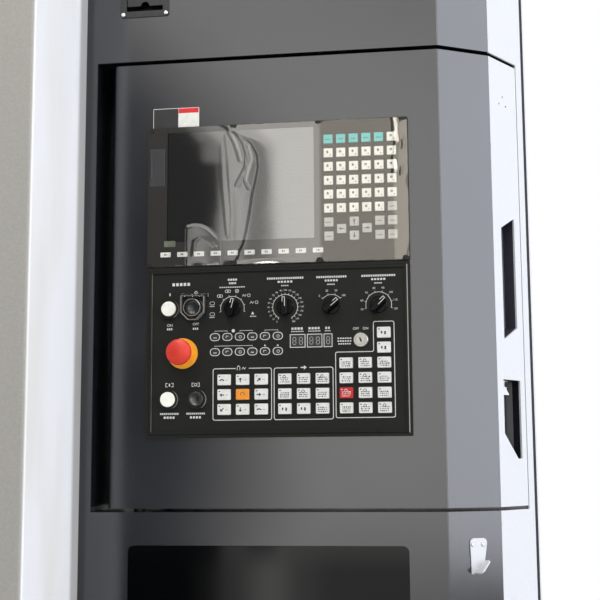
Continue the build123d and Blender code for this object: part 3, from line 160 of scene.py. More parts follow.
# Red, green, blue and roughness, then what differs from the usual finish, in the order of its function below
PAINTS = {
    "grey_paint": (26, 28, 33, 0.14, 0.12, 0.000008, 0.77, 0.02),
    # The door post's grey-beige front is painted shade: the same white paint as behind it, made darker
    "post_paint": (160, 157, 150, 0.55, 0.05),
    "rear_paint": (168, 166, 160, 0.5, 0.05),
    "white_paint": (214, 215, 217, 0.45, 0.03),
    "frame_paint": (52, 53, 56, 0.6),
}
METALS = {
    "steel": (196, 196, 198, 0.32),
    "lock_steel": (146, 145, 140, 0.3),
    "zinc": (170, 171, 172, 0.42),
    "black_steel": (46, 42, 42, 0.45),
}
GLASSES = {
    "window_glass": (4, 5, 6, 0.04, 0.2),
    "display_glass": (6, 9, 13, 0.03, 1.0, 1.58),
}
PLASTICS = {
    "seal_rubber": (26, 27, 30, 0.75),
    "black_plastic": (24, 24, 25, 0.38, 0.35),
    "pull_plastic": (62, 61, 72, 0.35, 0.5),
    "pocket_plastic": (24, 27, 32, 0.35),
    "knob_plastic": (8, 8, 10, 0.16, 0.08),
    "panel_face": (24, 24, 21, 0.5, 0.12, 0.00002),
    "unit_face": (37, 35, 33, 0.45, 0.15, 0.00002),
    "flap_plastic": (34, 34, 36, 0.4, 0.35),
    "box_plastic": (70, 70, 70, 0.6),
    "key_white": (222, 221, 214, 0.45),
    "key_grey": (182, 180, 174, 0.45),
    "key_cream": (238, 235, 224, 0.4),
    "key_teal": (92, 190, 186, 0.4),
    "key_orange": (233, 146, 46, 0.45),
    "key_red": (190, 28, 34, 0.4),
    "button_white": (246, 244, 232, 0.35),
    "button_black": (20, 20, 22, 0.3, 0.5),
    "stop_red": (208, 50, 34, 0.38),
    "stop_yellow": (236, 164, 40, 0.45),
    # White of the print, also used for painted highlights on the knobs and the guard
    "print_white": (212, 212, 206, 0.6),
    "print_grey": (150, 150, 146, 0.6),
    "print_black": (26, 26, 28, 0.6),
    # Pale colour for painted highlights on the clear guard's edges
    "edge_light": (168, 160, 152, 0.2),
    "plate_white": (226, 224, 216, 0.4),
    "plate_red": (206, 34, 42, 0.4),
    # Black of the plate and lamp windows, also used as painted shade in the key slot
    "plate_black": (14, 13, 14, 0.35),
    "plate_green": (96, 104, 84, 0.5),
}
# The door post, in metres front to back: where its front tone ends, and where painted shade in the corner
# begins
WHITE_FROM = (POST_FRONT_Y + 0.001, POST_FRONT_Y + 0.003)
CORNER_SHADE_FROM = (FRONT_Y * MM - 0.04, FRONT_Y * MM - 0.026)
SMUDGES = ((0.36, rgb(234, 232, 227)), (0.56, rgb(243, 243, 243)))
# Painted shade in the corner where the post meets the column
CORNER_SHADE = rgb(178, 176, 172)
# Painted highlight on the operator panel's faces that look to the right
RIGHT_FACING_HIGHLIGHT = rgb(140, 138, 128)
WHITE = (1.0, 1.0, 1.0, 1.0)

# The film, in metres across: where it clings to the unit's matt face, and where its edge curls
FILM_CLINGS = (0.064, 0.07)
FILM_CURLS = (0.176, 0.179)
FILM_MIRRORS = 0.1
FILM_TINTS = ((0.6, (1.0, 0.93, 0.82, 1.0)), (1.0, (1.0, 0.98, 0.95, 1.0)))
CLEAR_RELIEF = 0.0001


def feed(tree, socket, value):
    """Links another node's output to the socket, or sets its value."""
    if isinstance(value, bpy.types.NodeSocket):
        tree.links.new(value, socket)
    else:
        socket.default_value = value


def add_node(tree, kind, *inputs, **named):
    """New node. Inputs come in order or by name, as values or outputs. Other names are settings."""
    node = tree.nodes.new("ShaderNode" + kind)
    for name, value in named.items():
        if name in node.inputs.keys():
            feed(tree, node.inputs[name], value)
        else:
            setattr(node, name, value)
    for socket, value in zip(node.inputs, inputs):
        feed(tree, socket, value)
    return node


def result(tree, kind, *inputs, **named):
    """First output of a new node."""
    return add_node(tree, kind, *inputs, **named).outputs[0]


def ramp(tree, value, stops, interpolation="LINEAR"):
    """Colours at places from 0 to 1."""
    node = add_node(tree, "ValToRGB", value)
    node.color_ramp.interpolation = interpolation
    elements = node.color_ramp.elements
    while len(elements) < len(stops):
        elements.new(0.5)
    for element, (place, colour) in zip(elements, stops):
        element.position = place
        element.color = colour
    return node.outputs["Color"]


def row_place(tree):
    """Place in the row frame's coordinates."""
    return add_node(tree, "TexCoord").outputs["Object"]


def along(tree, vector, axis):
    """One of a vector's X, Y and Z."""
    return add_node(tree, "SeparateXYZ", vector).outputs[axis]


def noise(tree, scale, detail=3.0, stretch=None):
    """Noise whose grain is the same on every piece."""
    place = row_place(tree)
    if stretch:
        place = result(tree, "Mapping", Vector=place, Scale=stretch)
    return result(tree, "TexNoise", Vector=place, Scale=scale, Detail=detail)


def relief(tree, scale, height, detail=2.0, stretch=None, strength=1.0):
    """Fine relief of that height in metres."""
    grain = noise(tree, scale, detail, stretch)
    return result(tree, "Bump", Strength=strength, Distance=height, Height=grain)


def new_material(name, colour, roughness, metallic=0.0, specular=0.5):
    """Material with its node tree and its shader's sockets."""
    material = bpy.data.materials.new(name)
    material.use_nodes = True
    tree = material.node_tree
    shader = tree.nodes["Principled BSDF"].inputs
    shader["Base Color"].default_value = colour
    shader["Roughness"].default_value = roughness
    shader["Metallic"].default_value = metallic
    shader["Specular IOR Level"].default_value = specular
    return material, tree, shader


def shade(colour, factor):
    return tuple(channel * factor for channel in colour[:3]) + (1.0,)


def mottle(tree, shader, scale, light, dark, low=0.35, high=0.65, stretch=None):
    """Blotches of two colours, which meet between the noise levels low and high."""
    blotches = ramp(tree, noise(tree, scale, stretch=stretch), ((low, dark), (high, light)))
    feed(tree, shader["Base Color"], blotches)


def vary_roughness(tree, shader, scale, middle, uneven):
    levels = (0.3, 0.7, middle - uneven, middle + uneven)
    feed(tree, shader["Roughness"], result(tree, "MapRange", noise(tree, scale), *levels))


def lay_over(tree, shader, share, colour):
    """Lays a colour over the shader's own, by that share."""
    own = shader["Base Color"].links[0].from_socket
    feed(tree, shader["Base Color"], result(tree, "MixRGB", share, own, colour))


def paint(name, colour, roughness, contrast=0.12, grain=0.00006, specular=0.5, uneven=0.05):
    """Powder paint with an orange-peel grain of about a millimetre and a faint mottle."""
    material, tree, shader = new_material(name, colour, roughness, specular=specular)
    mottle(tree, shader, 420.0, shade(colour, 1.0 + contrast), shade(colour, 1.0 - contrast))
    feed(tree, shader["Normal"], relief(tree, 900.0, grain))
    vary_roughness(tree, shader, 6.0, roughness, uneven)
    return material


def paint_post_light_and_shade(tree, shader):
    """Behind the door post's grey-beige front: smudged white, and painted shade in the corner at the column.
    The front's grey-beige is painted shade of the same white paint.
    """
    y = along(tree, row_place(tree), "Y")
    smudged = ramp(tree, noise(tree, 7.0, stretch=(1.0, 1.0, 0.3)), SMUDGES)
    # Painted shade: darker towards the corner at the column
    corner = result(tree, "MapRange", y, *CORNER_SHADE_FROM, 0.0, 1.0)
    behind = result(tree, "MapRange", y, *WHITE_FROM, 0.0, 1.0)
    lay_over(tree, shader, behind, result(tree, "MixRGB", corner, smudged, CORNER_SHADE))


def metal(name, colour, roughness):
    """Metal brushed upright."""
    material, tree, shader = new_material(name, colour, roughness, metallic=1.0)
    mottle(tree, shader, 300.0, shade(colour, 1.1), shade(colour, 0.85), stretch=(1.0, 1.0, 8.0))
    feed(tree, shader["Normal"], relief(tree, 900.0, 0.00001, stretch=(1.0, 1.0, 10.0)))
    return material


def glass(name, colour, roughness, specular, ior=1.5):
    """Opaque glossy pane with a very slow waviness and a little dust."""
    material, tree, shader = new_material(name, colour, roughness, specular=specular)
    shader["IOR"].default_value = ior
    mottle(tree, shader, 700.0, shade(colour, 2.2), colour, low=0.62, high=0.75)
    feed(tree, shader["Normal"], relief(tree, 3.0, 0.00012, detail=0.0))
    return material


def plastic(name, colour, roughness, specular=0.4, grain=0.00001):
    material, tree, shader = new_material(name, colour, roughness, specular=specular)
    mottle(tree, shader, 120.0, shade(colour, 1.06), shade(colour, 0.94))
    feed(tree, shader["Normal"], relief(tree, 2500.0, grain))
    vary_roughness(tree, shader, 40.0, roughness, 0.04)
    return material


def paint_right_facing_highlight(tree, shader):
    """Painted highlight: paler where the surface looks to the right, towards the key light."""
    rightwards = along(tree, add_node(tree, "NewGeometry").outputs["Normal"], "X")
    lay_over(tree, shader, result(tree, "MapRange", rightwards, 0.4, 0.6, 0.0, 1.0), RIGHT_FACING_HIGHLIGHT)


def clear(name, colour, gloss_roughness, wave, strength, mirror):
    """See-through material. mirror gives the share that it mirrors, and in what colour."""
    material = bpy.data.materials.new(name)
    material.use_nodes = True
    tree = material.node_tree
    tree.nodes.remove(tree.nodes["Principled BSDF"])
    share, tint = mirror(tree)
    normal = relief(tree, wave, CLEAR_RELIEF, 1.0, strength=strength)
    gloss = result(tree, "BsdfGlossy", Color=tint, Roughness=gloss_roughness, Normal=normal)
    mix = result(tree, "MixShader", share, result(tree, "BsdfTransparent", Color=colour), gloss)
    feed(tree, tree.nodes["Material Output"].inputs["Surface"], mix)
    return material


def mirror_at_walls(tree):
    """More where the cover is seen edge on."""
    return add_node(tree, "LayerWeight", Blend=0.12).outputs["Fresnel"], WHITE


def mirror_by_place(tree):
    """Less where the film clings to the matt face beside the display, and more at its curled edge."""
    facing = add_node(tree, "LayerWeight", Blend=0.5).outputs["Facing"]
    grazing = result(tree, "Math", facing, 5.0, operation="POWER")
    share = result(tree, "MapRange", grazing, 0.0, 1.0, FILM_MIRRORS, 1.0)
    across = along(tree, row_place(tree), "X")
    cling = result(tree, "MapRange", across, *FILM_CLINGS, 1.0, 0.6)
    curled = result(tree, "MapRange", across, *FILM_CURLS, 1.0, 1.8)
    for factor in (cling, curled):
        share = result(tree, "Math", share, factor, operation="MULTIPLY")
    return share, ramp(tree, cling, FILM_TINTS)


def make_materials():
    made = {
        "clear_plastic": clear("clear_plastic", (0.93, 0.95, 0.95, 1.0), 0.08, 160.0, 0.6, mirror_at_walls),
        "clear_film": clear("clear_film", (0.97, 0.97, 0.96, 1.0), 0.04, 14.0, 1.0, mirror_by_place),
    }
    for make, finishes in ((paint, PAINTS), (metal, METALS), (glass, GLASSES), (plastic, PLASTICS)):
        for name, (red, green, blue, *finish) in finishes.items():
            made[name] = make(name, rgb(red, green, blue), *finish)
    for name, dress in (("post_paint", paint_post_light_and_shade), ("panel_face", paint_right_facing_highlight)):
        tree = made[name].node_tree
        dress(tree, tree.nodes["Principled BSDF"].inputs)
    return made


MATERIALS = make_materials()

NODE_MATERIALS = {
    "grey_paint": ["front_cover", "top_cap", "bay_liner", "console_shell"],
    "post_paint": ["door_post"],
    "rear_paint": ["back_panel", "console_rear_cover"],
    "white_paint": ["side_cover", "side_panel", "coat_hook", "console_side_cover", "pocket_bracket"],
    "frame_paint": ["base_plate", "inner_frame", "window_frame"],
    "steel": ["cover_screws"],
    "lock_steel": ["key_lock_body", "key_lock_barrel"],
    "zinc": ["levelling_feet"],
    "black_steel": ["console_screws", "pivot_pins"],
    "seal_rubber": ["edge_seal"],
    "window_glass": ["window_pane"],
    "display_glass": ["display_glass"],
    "black_plastic": ["latch_dish", "latch_paddle", "estop_stem"],
    "pull_plastic": ["pull_cup"],
    "pocket_plastic": ["pocket_cup"],
    "panel_face": ["op_panel"],
    "unit_face": ["mdi_panel"],
    "flap_plastic": ["card_flap"],
    "box_plastic": ["control_boxes"],
    "clear_plastic": ["power_off_guard"],
    "button_white": ["power_on_button", "cycle_start_button"],
    "button_black": ["power_off_button", "cycle_stop_button"],
    "stop_red": ["estop_head"],
    "stop_yellow": ["estop_base"],
    "knob_plastic": [name + "_knob" for name in DIALS],
    "key_orange": ["jog_key_5"],
}


def dress_nodes():
    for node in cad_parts.values():
        node.data.materials.clear()
        node.data.materials.append(MATERIALS["key_white"])
    for name, members in NODE_MATERIALS.items():
        for member in members:
            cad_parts[member].data.materials[0] = MATERIALS[name]


# Flat print and thin caps in front of the console's face

ARC_STEP = 6.0
RING_STEP = 15
MITRE_LIMIT = 0.3
DASH_SHARE = 0.68
TEXT_SIZE = 1.4


def around(x, z, radius, angle):
    """Point on a circle. The angle is clockwise from straight up, in degrees."""
    turn = math.radians(angle)
    return x + radius * math.sin(turn), z + radius * math.cos(turn)


def heading(angle):
    """Direction at that angle clockwise from straight up."""
    return Vector(around(0.0, 0.0, 1.0, angle))


class Sheet:
    """Collects flat shapes in the console's front plane, in millimetres, as one object."""

    def __init__(self, name, body, material, out):
        self.name = name
        self.body = body
        self.material = material
        self.out = out
        self.mesh = bmesh.new()

    def corner(self, x, z):
        return self.mesh.verts.new(front(x, z, self.out))

    def face(self, corners):
        """A face that looks away from the panel."""
        made = self.mesh.faces.new(corners)
        made.normal_update()
        if made.normal.y > 0:
            made.normal_flip()

    def polygon(self, points):
        self.face([self.corner(x, z) for x, z in points])

    def rectangle(self, x0, x1, z0, z1):
        self.polygon([(x0, z0), (x1, z0), (x1, z1), (x0, z1)])

    def path(self, points, width, closed=False):
        """A line of that width with mitred corners."""
        spots = [Vector(point) for point in points]
        runs = [(after - here).normalized() for here, after in zip(spots, spots[1:] + spots[:1])]
        if not closed:
            runs[-1] = runs[-2]
        sides = []
        for k, (here, onward) in enumerate(zip(spots, runs)):
            into = runs[k - 1] if k or closed else onward
            normal = (into + onward).orthogonal().normalized()
            reach = width / 2 / max(MITRE_LIMIT, normal.dot(into.orthogonal()))
            sides.append((here + normal * reach, here - normal * reach))
        following = sides[1:] + sides[:1] if closed else sides[1:]
        for (a, b), (c, d) in zip(sides, following):
            self.polygon([a, b, d, c])

    def arc(self, x, z, radius, start, end, width):
        count = max(2, round(abs(end - start) / ARC_STEP))
        self.path([around(x, z, radius, start + (end - start) * k / count) for k in range(count + 1)], width)

    def ring(self, x, z, radius, width):
        self.path([around(x, z, radius, angle) for angle in range(0, 360, RING_STEP)], width, closed=True)

    def text(self, words, x, z, height):
        """Centred text, in the font's own outline."""
        curve = bpy.data.curves.new("words", "FONT")
        curve.body = words
        curve.size = height * TEXT_SIZE
        curve.align_x = "CENTER"
        curve.align_y = "CENTER"
        holder = bpy.data.objects.new("words", curve)
        flat = bpy.data.meshes.new_from_object(holder)
        corners = [self.corner(x + v.co.x, z + v.co.y) for v in flat.vertices]
        for face in flat.polygons:
            self.face([corners[index] for index in face.vertices])
        bpy.data.objects.remove(holder)
        bpy.data.curves.remove(curve)
        bpy.data.meshes.remove(flat)

    def dashes(self, x, z, width, height, count):
        """A row of small plain blocks where the object has a line of print."""
        pitch = width / count
        for k in range(count):
            left = x - width / 2 + k * pitch
            self.rectangle(left, left + pitch * DASH_SHARE, z - height / 2, z + height / 2)

    def finish(self):
        make_piece(self.name, self.mesh, self.body, [self.material])


def new_object(name, mesh, materials):
    data = bpy.data.meshes.new(name)
    mesh.to_mesh(data)
    mesh.free()
    for material in materials:
        data.materials.append(material)
    made = bpy.data.objects.new(name, data)
    bpy.context.scene.collection.objects.link(made)
    return made


def make_piece(name, mesh, body, materials):
    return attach(new_object(name, mesh, [MATERIALS[material] for material in materials]), body)


def rounded_points(x, z, width, height, radius, steps=4):
    points = []
    for quarter, (sx, sz) in enumerate(((1, 1), (-1, 1), (-1, -1), (1, -1))):
        cx, cz = x + sx * (width / 2 - radius), z + sz * (height / 2 - radius)
        for k in range(steps + 1):
            turn = math.radians(90 * quarter + 90 * k / steps)
            points.append((cx + radius * math.cos(turn), cz + radius * math.sin(turn)))
    return points


def add_cap(mesh, x, z, width, height, back, face_out, corner, edge, slot=0):
    """Key cap: straight sides, a rounded edge and a flat face."""
    rings = ((0.0, back), (0.0, face_out - edge), (edge * 0.3, face_out - edge * 0.3), (edge, face_out),
             (edge * 2.5, face_out))
    loops = []
    for inset, out in rings:
        points = rounded_points(x, z, width - 2 * inset, height - 2 * inset, max(0.15, corner - inset))
        loops.append([mesh.verts.new(front(px, pz, out)) for px, pz in points])
    for low, high in zip(loops, loops[1:]):
        for k in range(len(low)):
            nxt = (k + 1) % len(low)
            mesh.faces.new([low[k], low[nxt], high[nxt], high[k]]).material_index = slot
    mesh.faces.new(loops[-1]).material_index = slot


def finish_caps(name, mesh, materials):
    bmesh.ops.recalc_face_normals(mesh, faces=mesh.faces)
    make_piece(name, mesh, "console", materials)


def pad_keys(left, rows):
    return [(left + column * KEY_PITCH_X, KEY_BOTTOM_Z + row * KEY_PITCH_Z)
            for row in range(rows) for column in range(3)]


FUNCTION_X = RIGHT_X + 2 * KEY_PITCH_X
RED_KEY = (RIGHT_X, KEY_BOTTOM_Z + KEY_PITCH_Z)
# Keys that are one piece with the panel. The right pad's last column moves
FIXED_KEYS = pad_keys(MIDDLE_X, 3) + [key for key in pad_keys(RIGHT_X, 4) if key[0] < FUNCTION_X - 1.0]
# How far a cap stands over its solid key, in front and in width
CAP_OVER = 0.08
CAP_WIDER = 0.1
FIXED_PRINT_OUT = OP_FACE + KEY_PROUD + 0.15
KEY_PRINT_OUT = OP_FACE + KEY_PROUD + PRINT_LIFT
TURNS = {"up": 0, "down": 180, "left": -90, "right": 90, "rise": 50, "fall": -130}
JOG_SYMBOLS = ("fall", "down", "arc", "left", "none", "right", "arc", "up", "rise")
FUNCTION_SYMBOLS = ("ring", "bars", "bars", "bars", "plain", "plain")


def machine_key_caps():
    mesh = bmesh.new()
    face_out = OP_FACE + KEY_PROUD + CAP_OVER
    for x, z in FIXED_KEYS:
        slot = 1 if (x, z) == RED_KEY else 0
        add_cap(mesh, x, z, KEY_W + CAP_WIDER, KEY_H + CAP_WIDER, OP_FACE, face_out, KEY_CORNER, 0.5, slot)
    finish_caps("machine_key_caps", mesh, ["key_white", "key_red"])


def arrow(sheet, x, z, length, turn, width):
    """Arrow through x, z. turn is clockwise from pointing up."""
    ahead = heading(turn)
    side = ahead.orthogonal() * width * 1.9
    centre = Vector((x, z))
    neck = centre + ahead * length * 0.05
    sheet.path([centre - ahead * length / 2, neck], width)
    sheet.polygon([neck - side, neck + side, centre + ahead * length / 2])


def key_symbol(sheet, x, z, kind):
    """Small lamp mark at the key's top left, and a plain symbol."""
    sheet.rectangle(x - 8.0, x - 5.6, z + 4.2, z + 5.6)
    if kind in TURNS:
        arrow(sheet, x - 3.2, z - 0.6, 7.0, TURNS[kind], 1.5)
    elif kind == "arc":
        sheet.arc(x - 3.2, z - 3.6, 3.8, -56, 56, 1.7)
    if kind in TURNS or kind == "arc":
        sheet.dashes(x + 4.4, z - 0.6, 3.4, 0.9, 2)
    elif kind == "plain":
        sheet.dashes(x - 2.6, z - 0.2, 3.0, 3.6, 1)
        sheet.dashes(x + 2.6, z - 0.8, 3.6, 4.8, 1)
    else:
        if kind == "ring":
            sheet.ring(x - 0.6, z + 3.2, 2.0, 0.9)
        legend_rows(sheet, x, z)


def legend_rows(sheet, x, z):
    """Rows of small uneven marks where the object has tiny print."""
    for row in (1.2, -1.6, -4.6):
        left = x - 6.6
        while left < x + 6.0:
            width = random.uniform(0.7, 2.2)
            height = random.uniform(0.8, 2.0)
            sheet.rectangle(left, left + width, z + row - height / 2, z + row + height / 2)
            left += width + random.uniform(0.5, 1.5)


def machine_key_print():
    for number, (x, z) in enumerate(pad_keys(JOG_X, 3), start=1):
        body = f"jog_key_{number}"
        sheet = Sheet(body + "_print", body, "print_black", KEY_PRINT_OUT)
        if JOG_SYMBOLS[number - 1] == "none":
            sheet.arc(x, z, 3.0, -120, 120, 0.7)
        else:
            key_symbol(sheet, x, z, JOG_SYMBOLS[number - 1])
        sheet.finish()
    for number, kind in enumerate(FUNCTION_SYMBOLS, start=1):
        body = f"function_key_{number}"
        sheet = Sheet(body + "_print", body, "print_black", KEY_PRINT_OUT)
        key_symbol(sheet, FUNCTION_X, KEY_BOTTOM_Z + (number - 1) * KEY_PITCH_Z, kind)
        sheet.finish()
    sheet = Sheet("fixed_key_print", "console", "print_black", FIXED_PRINT_OUT)
    kinds = ["plain", "plain", "bars"] + [("ring", "bars")[index % 2] for index in range(3, len(FIXED_KEYS))]
    for (x, z), kind in zip(FIXED_KEYS, kinds):
        if (x, z) != RED_KEY:
            key_symbol(sheet, x, z, kind)
    sheet.finish()
    light = Sheet("red_key_print", "console", "print_white", FIXED_PRINT_OUT)
    key_symbol(light, *RED_KEY, "ring")
    light.finish()


# Print, lamps and windows of the operator panel

FRAME_LINE = 1.1
FRAME_CORNER = 3.0
RIGHT_FRAME = ((174.4, 271.4), (174.4, 130.8), (87.6, 130.8), (87.6, 227.2), (144.0, 227.2), (144.0, 271.4))
# Rows of dashes: x, z, width, height and count
PANEL_DASHES = (
    (-145.5, 334.6, 29.0, 4.6, 5),
    (-163.4, 266.8, 9.0, 3.0, 3),
    (-123.4, 266.8, 9.0, 3.0, 3),
    (DIALS["feed"], 328.6, 12.0, 1.8, 4),
    (DIALS["rapid"], 328.6, 12.0, 1.8, 4),
    (DIALS["spindle"], 328.6, 12.0, 1.8, 4),
    (DIALS["mode"], 328.4, 40.0, 1.6, 12),
    (101.6, 247.5, 21.5, 2.0, 6),
    (101.6, 243.4, 21.5, 2.0, 6),
    (101.6, 239.3, 19.5, 2.0, 6),
)
# Words: x, z and height
PANEL_WORDS = (
    ("ON", -163.4, 272.4, 4.0),
    ("OFF", -123.4, 273.6, 4.0),
    ("OFF", 118.2, 261.4, 3.8),
    ("ON", 132.4, 261.4, 3.8),
)
# Titles over the dials: width and count of dashes
DIAL_TITLES_Z = (339.8, 334.4)
DIAL_TITLES = {"mode": (15.0, 4), "feed": (56.0, 17), "rapid": (46.0, 14), "spindle": (51.0, 15)}
WINDOW_TITLES_Z = (263.5, 259.2)
MODE_ICONS = ("box", "box", "slot", "slot", "ring", "wave", "wave", "peak")
DIGIT_W = 4.6
DIGIT_H = 10.5
DIGIT_LINE = 1.0
DIGIT_PITCH = 9.775
# Feet and bar of the brackets, above the lamps' middles
BRACKET_Z = (7.6, 9.0)


def frame_outline(left, right, bottom, top, gap):
    """Open outline that starts and ends at a gap in the middle of the top edge."""
    middle = (left + right) / 2
    points = [(middle + gap, top)]
    for x, z, start in ((right, top, 0), (right, bottom, 90), (left, bottom, 180), (left, top, 270)):
        cx = x - FRAME_CORNER if x == right else x + FRAME_CORNER
        cz = z - FRAME_CORNER if z == top else z + FRAME_CORNER
        points += [around(cx, cz, FRAME_CORNER, start + 22.5 * k) for k in range(5)]
    return points + [(middle - gap, top)]


def right_frame_outline():
    points = []
    for k, corner in enumerate(RIGHT_FRAME):
        here = Vector(corner)
        before = (Vector(RIGHT_FRAME[k - 1]) - here).normalized() * FRAME_CORNER
        after = (Vector(RIGHT_FRAME[(k + 1) % len(RIGHT_FRAME)]) - here).normalized() * FRAME_CORNER
        for share in (0.0, 0.25, 0.5, 0.75, 1.0):
            points.append(here + before * (1 - share) ** 2 + after * share ** 2)
    return points


def dial(sheet, name, low, high, count, labels=(), size=3.0):
    """Scale round a knob: arc, ticks and numbers."""
    radius = ARC_R[name]
    centre = Vector((DIALS[name], KNOB_ROW_Z))
    sheet.arc(DIALS[name], KNOB_ROW_Z, radius, low, high, 0.8)
    for k in range(count):
        ahead = heading(low + (high - low) * k / (count - 1))
        sheet.path([centre + ahead * radius, centre + ahead * (radius + TICK)], 0.7)
        if labels:
            sheet.text(labels[k], *(centre + ahead * (radius + NUMBER_GAP)), size)


def mode_icons(sheet):
    """Plain symbols round the first dial, in place of its words."""
    for index, kind in enumerate(MODE_ICONS):
        angle = -105 + 30 * index
        x, z = around(DIALS["mode"], KNOB_ROW_Z, 27.0 if abs(angle) < 60 else 32.0, angle)
        if kind == "box":
            sheet.path(rounded_points(x, z, 7.0, 4.6, 1.6, 2), 0.6, closed=True)
            sheet.dashes(x, z - 4.6, 8.0, 1.4, 4)
        elif kind == "slot":
            sheet.path(rounded_points(x, z, 8.0, 4.0, 1.4, 2), 0.7, closed=True)
            sheet.rectangle(x - 1.0, x + 1.0, z - 1.0, z + 1.0)
        elif kind == "ring":
            sheet.ring(x, z, 2.6, 0.7)
            sheet.rectangle(x - 0.9, x + 0.9, z - 0.9, z + 0.9)
        elif kind == "wave":
            sheet.path([(x - 4, z - 1.5), (x - 2, z + 1.5), (x, z - 1.5), (x + 2, z + 1.5)], 0.7)
            sheet.path(rounded_points(x + 6.0, z, 4.0, 4.0, 0.8, 1), 0.6, closed=True)
        else:
            sheet.polygon([(x - 2.4, z - 1.5), (x + 2.4, z - 1.5), (x, z + 2.6)])
            sheet.dashes(x + 1.0, z - 4.5, 10.0, 1.4, 5)


def panel_print():
    sheet = Sheet("panel_print", "console", "print_white", OP_FACE + PRINT_LIFT)
    sheet.path(frame_outline(-96.6, -8.2, 129.4, 205.8, 10.0), FRAME_LINE)
    sheet.path(frame_outline(-4.3, 83.6, 129.2, 205.4, 9.0), FRAME_LINE)
    sheet.path(right_frame_outline(), FRAME_LINE, closed=True)
    dial(sheet, "mode", -105, 105, 8)
    dial(sheet, "feed", -150, 150, 21, [str(10 * k) for k in range(21)], 2.5)
    dial(sheet, "rapid", -50, 50, 4, ["0", "25", "50", "100"])
    dial(sheet, "spindle", -105, 105, 8, [str(50 + 10 * k) for k in range(8)])
    mode_icons(sheet)
    for row in PANEL_DASHES:
        sheet.dashes(*row)
    for words in PANEL_WORDS:
        sheet.text(*words)
    upper, lower = DIAL_TITLES_Z
    for name, (width, count) in DIAL_TITLES.items():
        sheet.dashes(DIALS[name] + 0.6, upper, width, 3.0, count)
        sheet.dashes(DIALS[name] + 0.6, lower, width * 0.3 + 7, 2.9, 5)
    upper, lower = WINDOW_TITLES_Z
    for (low, high), count in zip(WINDOWS_X, (4, 4, 2)):
        sheet.dashes((low + high) / 2, upper, high - low - 4, 3.4, count)
        sheet.dashes((low + high) / 2, lower, high - low - 3, 1.5, count * 2)
    symbols(sheet)
    sheet.finish()


def symbols(sheet):
    """Power mark, signs of the cycle buttons, hand and arrow."""
    sheet.rectangle(-164.6, -162.8, 317.4, 321.6)
    sheet.ring(-123.4, 321.6, 1.9, 0.8)
    sheet.rectangle(-164.4, -162.4, 180.4, 184.8)
    sheet.ring(-123.2, 182.6, 2.0, 0.9)
    for x in (-162.8, -122.6):
        for side in (-1, 1):
            near, far = x - 0.6 + side * 2.8, x - 0.6 + side * 5.6
            sheet.path([(near, 185.2), (far, 185.2), (far, 180.0), (near, 180.0)], 0.9)
        sheet.dashes(x, 139.6, 29.0, 2.7, 10)
        sheet.dashes(x, 134.0, 18.0, 3.2, 4)
    sheet.path([(-60, 203), (-60, 208), (-58, 210), (-56, 208), (-56, 203)], 0.8)
    sheet.path([(-53, 204.6), (-51, 207.4), (-49, 204.6), (-47, 207.4)], 0.8)
    arrow(sheet, 40.0, 205.6, 9.0, 90, 1.6)


def panel_lamps():
    """Lamp windows with white rims, the brackets over their groups, and the digit windows."""
    rims = Sheet("lamp_rims", "console", "print_white", OP_FACE + PRINT_LIFT)
    dark = Sheet("lamp_windows", "console", "plate_black", OP_FACE + PRINT_LIFT * 0.5)
    for z in LAMPS_Z:
        for index, x in enumerate(LAMPS_X):
            outline = rounded_points(x, z, LAMP_W, LAMP_H, LAMP_H / 2 - 0.4, 5)
            dark.polygon(outline)
            rims.path(outline, 1.0, closed=True)
            if index % 3 == 1:
                rims.path([(x - 2, z - 1.8), (x - 2, z + 1.2), (x + 2, z + 1.2)], 0.7)
            elif index % 3 == 2:
                rims.ring(x + 0.6, z - 0.4, 1.9, 0.6)
            else:
                rims.dashes(x + 0.4, z - 1.2, 5.0, 1.6, 3)
    upper, lower = LAMPS_Z
    foot, bar = BRACKET_Z
    for z, first, last in ((upper, 0, 1), (upper, 2, 3), (upper, 4, 5), (lower, 0, 3)):
        left, right = LAMPS_X[first], LAMPS_X[last]
        rims.path([(left, z + foot), (left, z + bar), (right, z + bar), (right, z + foot)], 0.6)
    rims.polygon([around(-66.0, upper + bar, 2.6, 90 - 45 * k) for k in range(8)])
    for x in LAMPS_X[4:]:
        rims.polygon([(x - 1.6, lower + foot), (x + 1.6, lower + foot), (x, lower + 10.4)])
    low, high = WINDOWS_Z
    digits = Sheet("counter_digits", "console", "print_grey", OP_FACE + PRINT_LIFT * 1.2)
    for left, right in WINDOWS_X:
        dark.rectangle(left, right, low, high)
        rims.path([(left, low), (right, low), (right, high), (left, high)], 1.0, closed=True)
        count = 1 if right - left < 15 else 2
        for k in range(count):
            seven_segments(digits, (left + right) / 2 + (k - (count - 1) / 2) * DIGIT_PITCH, (low + high) / 2)
    for sheet in (rims, dark, digits):
        sheet.finish()


def seven_segments(sheet, x, z):
    half_w, half_h, half_t = DIGIT_W / 2, DIGIT_H / 2, DIGIT_LINE / 2
    for dz in (-half_h, 0.0, half_h):
        sheet.rectangle(x - half_w + half_t, x + half_w - half_t, z + dz - half_t, z + dz + half_t)
    reach = half_h / 2 - DIGIT_LINE * 0.7
    for dx in (-half_w, half_w):
        for middle in (z - half_h / 2, z + half_h / 2):
            sheet.rectangle(x + dx - half_t, x + dx + half_t, middle - reach, middle + reach)


def knob_pointer_highlights():
    """Painted highlights: white lines along both edges of each knob's pointer groove, where its edges catch
    light, joined at its tip.
    """
    for name, x in DIALS.items():
        sheet = Sheet(name + "_pointer_highlight", name + "_knob", "print_white", KNOB_FRONT + PRINT_LIFT)
        ahead = heading(KNOB_REST[name])
        side = ahead.orthogonal() * POINTER_HALF_W
        centre = Vector((x, KNOB_ROW_Z))
        tip = centre + ahead * (KNOB_GRIP_L / 2 - 1.4)
        # Painted highlight along the groove's edges
        sheet.path([centre - side - ahead, tip - side, tip + side, tip + side - ahead * 7.0], POINTER_W)
        sheet.finish()


